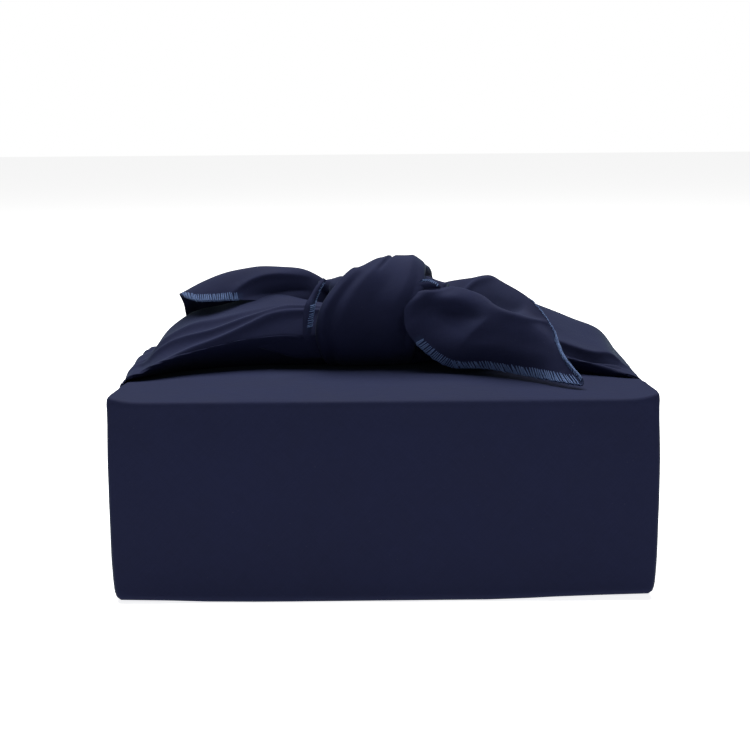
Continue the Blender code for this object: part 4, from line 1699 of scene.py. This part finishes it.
# The left strand only differs where it passes over the top of the knot.
LEFT_STRAND_PATH = STRAND_PATH[:7] + (
    (-8.0, -23.5, 9.0, 24.0, 4.5),
    (-9.0, -18.5, 17.5, 20.0, 5.0),
    (-9.0, -8.0, 23.0, 17.0, 6.0),
    (4.0, 6.0, 19.5, 12.5, 8.0),
) + STRAND_PATH[11:]
# along the strand and round it, 0.25 at its right edge, 0.5 on the middle of its face, 0.75 at its left edge
RIGHT_STRAND_FOLDS = (
    Crease(
        ((0.34, 0.66, 0.0), (0.44, 0.665, 1.5), (0.53, 0.66, 1.4), (0.61, 0.645, 0.4), (0.70, 0.63, 0.0)),
        near=0.022, far=0.03, sharp=1.5,
    ),
    Crease(
        ((0.36, 0.62, 0.0), (0.46, 0.625, -1.2), (0.56, 0.615, -0.8), (0.64, 0.60, 0.0)),
        near=0.016, far=0.016,
    ),
    Crease(
        ((0.36, 0.57, 0.0), (0.46, 0.575, 1.0), (0.60, 0.57, 1.4), (0.74, 0.555, 1.0), (0.84, 0.54, 0.0)),
        near=0.035, far=0.022, sharp=1.5,
    ),
    Crease(
        ((0.44, 0.50, 0.0), (0.54, 0.50, -0.6), (0.64, 0.50, -0.6), (0.72, 0.49, 0.0)),
        near=0.016, far=0.02, sharp=1.5,
    ),
    Crease(
        ((0.40, 0.44, 0.0), (0.55, 0.44, 1.0), (0.66, 0.435, 1.4), (0.76, 0.43, 1.2), (0.86, 0.43, 0.0)),
        near=0.04, far=0.035, sharp=1.5,
    ),
    Crease(
        ((0.66, 0.545, 0.0), (0.70, 0.545, -2.0), (0.76, 0.54, -2.8), (0.82, 0.54, 0.0)),
        near=0.007, far=0.007, sharp=1.3,
    ),
    Crease(
        ((0.36, 0.36, 0.0), (0.46, 0.37, -1.0), (0.58, 0.375, -1.3), (0.70, 0.38, 0.0)),
        near=0.02, far=0.02,
    ),
    Crease(((0.0, 0.50, 1.0), (0.18, 0.52, 1.2), (0.34, 0.52, 0.0)), near=0.04, far=0.04),
    Crease(((0.76, 0.60, 0.0), (0.88, 0.58, 1.6), (1.0, 0.56, 0.8)), near=0.05, far=0.05),
    Crease(((0.80, 0.44, 0.0), (0.90, 0.45, -1.6), (1.0, 0.46, -0.8)), near=0.03, far=0.03),
)
LEFT_STRAND_FOLDS = (
    Crease(
        ((0.36, 0.56, 0.0), (0.50, 0.57, 1.3), (0.66, 0.55, 1.5), (0.80, 0.55, 0.0)),
        near=0.05, far=0.03, sharp=1.5,
    ),
    Crease(
        ((0.38, 0.45, 0.0), (0.52, 0.44, -1.2), (0.66, 0.45, -1.0), (0.80, 0.46, 0.0)),
        near=0.02, far=0.02,
    ),
    Crease(((0.40, 0.36, 0.0), (0.55, 0.35, 1.0), (0.70, 0.37, 1.0), (0.80, 0.38, 0.0)), near=0.03, far=0.04),
    Crease(((0.0, 0.55, 1.5), (0.18, 0.55, 1.5), (0.34, 0.54, 0.0)), near=0.04, far=0.03),
    Crease(((0.76, 0.56, 0.0), (0.88, 0.55, 1.6), (1.0, 0.54, 0.8)), near=0.05, far=0.05),
)

# front_hem, shoulder, crest, back, back_hem
LEFT_TAIL_ROWS = (
    ((-27, 2, 142), (-30, 5, 150), (-31, 9, 154.0), (-31, 15, 151), (-31, 18, 148)),
    ((-42, 1, 142), (-42, 4, 152), (-42, 9, 160.0), (-43, 19, 154), (-43, 24, 147)),
    ((-60, 1, 144.0), (-59, 6, 155), (-57, 13, 161.4), (-58, 27, 155.5), (-58, 33, 145.5)),
    ((-77, 2, 145.5), (-76, 8, 154.8), (-74, 15, 161.5), (-75, 31, 152), (-77, 40, 138)),
    ((-92, 4, 145), (-91, 9, 152), (-89, 17, 158.8), (-91, 36, 146), (-93, 46, 131)),
    ((-105, 8, 144.5), (-105, 12, 148.8), (-104, 19, 153.0), (-106, 36, 142), (-108, 43, 130)),
    ((-116, 18, 146.5), (-116.8, 20, 146.8), (-117, 22, 146.4), (-115.5, 30, 140), (-115, 36, 132.5)),
)
LEFT_TAIL_CREASES = (
    Crease(
        ((0.12, 0.40, 0.0), (0.24, 0.36, 1.8), (0.31, 0.33, 2.8), (0.44, 0.25, 3.0), (0.52, 0.18, 2.4),
         (0.60, 0.09, 1.2), (0.68, 0.02, 0.0)),
        near=0.04, far=0.12, sharp=1.25,
    ),
    Crease(
        ((0.10, 0.22, 0.0), (0.22, 0.20, -2.6), (0.36, 0.12, -3.2), (0.50, 0.05, -1.2), (0.58, 0.0, 0.0)),
        near=0.08, far=0.07,
    ),
    Crease(((0.30, 0.60, 0.0), (0.50, 0.62, 0.9), (0.75, 0.66, 0.8), (0.92, 0.7, 0.0)), near=0.06, far=0.06),
)
# front_hem, belly, crease, valley, back_hem
RIGHT_TAIL_ROWS = (
    ((14, -12, 145), (20, -14, 148), (27, -13, 150), (29, -6, 151), (30, -2, 151.5)),
    ((11.5, -29.5, 145.5), (18.5, -30.5, 150.3), (30, -20, 152), (33, -8, 152), (35, -1, 154.5)),
    ((11.5, -34.5, 135.0), (22.5, -34.5, 142.8), (38.5, -27, 151.3), (43, -11, 150), (47, 0, 156.5)),
    ((17.8, -36, 125.0), (34, -36.5, 136.4), (49.5, -34, 148), (55.5, -18, 148), (60, -4, 157.5)),
    ((32.8, -38, 113.9), (44.5, -42, 129.0), (59, -43, 142.5), (65, -28, 145.5), (69, -17, 154.6)),
    ((54.6, -46, 113.0), (62, -50, 125.9), (74, -50, 138.5), (78, -41, 142.5), (81, -37, 147.4)),
    ((79.6, -60, 110.1), (83.3, -60, 118.2), (88, -57, 128.6), (89.5, -54, 132.3), (90.5, -53, 134.5)),
    ((95, -73, 108.9), (96, -71, 111.8), (96.5, -69, 115.3), (96.5, -67.5, 118.3), (96, -67, 120.5)),
    ((103, -77, 108.1), (103.5, -76.5, 108.8), (104, -76, 109.6), (104, -75.5, 110.5), (103.8, -75, 111.3)),
)
RIGHT_TAIL_CREASES = (
    Crease(
        ((0.08, 0.60, 0.0), (0.143, 0.60, 2.2), (0.269, 0.59, 3.4), (0.403, 0.60, 3.4),
         (0.504, 0.64, 2.9), (0.597, 0.735, 2.0), (0.681, 0.93, 0.9), (0.72, 1.0, 0.0)),
        near=0.06, far=0.032, sharp=1.2, lean=0.5,
    ),
    Crease(
        ((0.12, 0.76, 0.0), (0.20, 0.72, -4.0), (0.32, 0.705, -8.0), (0.44, 0.725, -5.6), (0.54, 0.81, 0.0)),
        near=0.05, far=0.10, sharp=1.8,
    ),
    Crease(
        ((0.13, 0.70, 0.0), (0.17, 0.76, 1.0), (0.21, 0.90, 1.8), (0.27, 0.97, 1.8), (0.34, 1.0, 0.0)),
        near=0.05, far=0.05, sharp=1.4,
    ),
    Crease(
        ((0.11, 0.22, 0.0), (0.17, 0.31, -3.8), (0.24, 0.36, -6.2), (0.31, 0.38, -5.0), (0.41, 0.42, 0.0)),
        near=0.22, far=0.09, sharp=2.0,
    ),
    Crease(
        ((0.02, 0.10, 0.0), (0.07, 0.20, 1.2), (0.11, 0.36, 1.6), (0.14, 0.50, 1.0), (0.17, 0.60, 0.0)),
        near=0.07, far=0.07, sharp=1.6,
    ),
    Crease(
        ((0.40, 0.20, 0.0), (0.52, 0.26, 0.9), (0.66, 0.34, 0.9), (0.80, 0.46, 0.0)),
        near=0.16, far=0.12, sharp=2.0,
    ),
)
# the two corners that show at the knot's sides: each row is a line across a corner
LEFT_CORNER_ROWS = (
    ((-31.8, -16, 158.2), (-32.3, -16.5, 158.6), (-32.8, -16, 159.0)),
    ((-34.6, -20, 154.2), (-35.4, -21, 154.8), (-36.4, -20, 155.4)),
    ((-36.8, -22.5, 149.2), (-38.2, -23.5, 149.6), (-39.6, -22.5, 150.0)),
    ((-37.9, -24.5, 145.3), (-40.0, -25.6, 145.5), (-42.3, -24.5, 145.7)),
    ((-38.6, -26, 139.9), (-41.0, -26.8, 140.1), (-43.4, -25.5, 140.3)),
    ((-39.5, -27, 134.0), (-41.6, -27.6, 134.1), (-43.8, -26.5, 134.2)),
    ((-40.4, -28, 128.7), (-42.0, -28.4, 128.7), (-43.6, -27.8, 128.7)),
    ((-41.6, -28.2, 126.6), (-42.1, -28.4, 126.6), (-42.6, -28.2, 126.6)),
)
RIGHT_CORNER_ROWS = (
    ((17.0, -26.0, 152.3), (17.6, -26.5, 155.0), (19.6, -25.0, 158.6)),
    ((21.6, -25.5, 153.6), (22.4, -24.6, 156.2), (23.8, -22.4, 158.4)),
    ((26.6, -23.0, 153.8), (27.5, -22.0, 155.2), (28.4, -20.4, 156.6)),
    ((30.6, -20.0, 153.4), (30.9, -19.6, 153.9), (31.2, -19.2, 154.3)),
)


def right_tail() -> Tail:
    """Describes the right tail, which lies forward over the ear and the lid.

    Returns:
        The tail, not yet built.
    """
    return Tail(
        name="right_tail",
        rows=RIGHT_TAIL_ROWS,
        creases=RIGHT_TAIL_CREASES,
        hems=(
            Hem(
                "lower_hem_start",
                far_side=False, first=0.27, last=0.475, width=4.6, slant=0.4, pitch=1.2, seed=4,
            ),
            Hem("lower_hem", far_side=False, first=0.41, last=1.0, width=4.9, slant=-4.4, pitch=1.55, seed=3),
            Hem("upper_edge", far_side=True, first=0.54, last=0.80, width=0.5, slant=0.4, pitch=1.2, seed=5),
            Hem("upper_hem", far_side=True, first=0.76, last=1.0, width=3.6, slant=1.2, pitch=1.3, seed=6),
        ),
        flat=(0.10, 0.13),
        area=0.0062,
        out=1.0,
        seed=2.2,
    )


def left_tail() -> Tail:
    """Describes the left tail, an arched leaf that lies back over the ear.

    Returns:
        The tail, not yet built.
    """
    return Tail(
        name="left_tail",
        rows=LEFT_TAIL_ROWS,
        creases=LEFT_TAIL_CREASES,
        hems=(
            Hem(
                "front_hem",
                far_side=False, first=0.56, last=0.985, width=4.2, slant=-0.8, pitch=1.25, seed=9,
            ),
            Hem("back_hem", far_side=True, first=0.25, last=0.86, width=4.6, seed=12),
        ),
        flat=(0.08, 0.11),
        area=0.0050,
        out=-1.0,
        seed=6.4,
    )


def corners() -> tuple[Tail, Tail]:
    """Describes the two small corners of the cloth that show at the knot's sides.

    Returns:
        The left one and the right one, not yet built.
    """
    left = Tail(
        name="left_corner",
        rows=LEFT_CORNER_ROWS,
        creases=(
            Crease(((0.2, 0.5, 0.0), (0.5, 0.5, 0.4), (0.8, 0.5, 0.4), (1.0, 0.5, 0.0)), near=0.3, far=0.3),
        ),
        hems=(
            Hem("edge", far_side=False, first=0.02, last=0.46, width=0.8, slant=0.3, pitch=1.1, seed=21),
            Hem("hem", far_side=False, first=0.40, last=0.84, width=2.6, slant=-0.6, pitch=1.2, seed=22),
        ),
        flat=(0.010, 0.040),
        area=0.00018,
        out=-1.0,
        seed=3.3,
        steps=(70, 24),
        insets=(-1.0, 0.0, 0.8, 1.6, 2.4, 3.2, 4.0),
    )
    right = Tail(
        name="right_corner",
        rows=RIGHT_CORNER_ROWS,
        creases=(Crease(((0.0, 0.4, 0.6), (0.5, 0.5, 0.6), (1.0, 0.5, 0.0)), near=0.25, far=0.25),),
        hems=(Hem("hem", far_side=True, first=0.02, last=0.90, width=2.0, slant=0.5, pitch=1.1, seed=23),),
        flat=(0.010, 0.018),
        area=0.00008,
        out=1.0,
        seed=5.1,
        steps=(40, 24),
        insets=(-1.0, 0.0, 0.8, 1.6, 2.4, 3.2),
    )
    return left, right


def main() -> None:
    """Builds the bundle piece by piece, then the studio."""
    logging.basicConfig(level=logging.INFO, format="%(message)s")
    effects = ShaderEffects()
    stitches = OverlockStitches(ThreadFinish().material(effects))
    shop = Workshop(ClothFinish().material(effects), stitches)
    body = WrappedBody()
    body.build(shop)
    BackFlap(body).build(shop)
    Ear(Side.LEFT, LEFT_EAR_ROWS, LEFT_EAR_CREASES, 4.1).build(shop)
    Ear(Side.RIGHT, RIGHT_EAR_ROWS, RIGHT_EAR_CREASES, 7.9, lip=(0.02, 0.035)).build(shop)
    KnotStrand(Side.RIGHT, STRAND_PATH, RIGHT_STRAND_FOLDS, 1.9).build(shop)
    KnotStrand(Side.LEFT, LEFT_STRAND_PATH, LEFT_STRAND_FOLDS, 9.2).build(shop)
    left_tail().build(shop)
    right_tail().build(shop)
    for corner in corners():
        corner.build(shop)
    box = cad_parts["box"]
    box.data.materials.clear()
    box.data.materials.append(BoardFinish().material(effects))
    LOG.info("box: plain board inside the cloth")
    Studio().build()


if __name__ == "__main__":
    main()
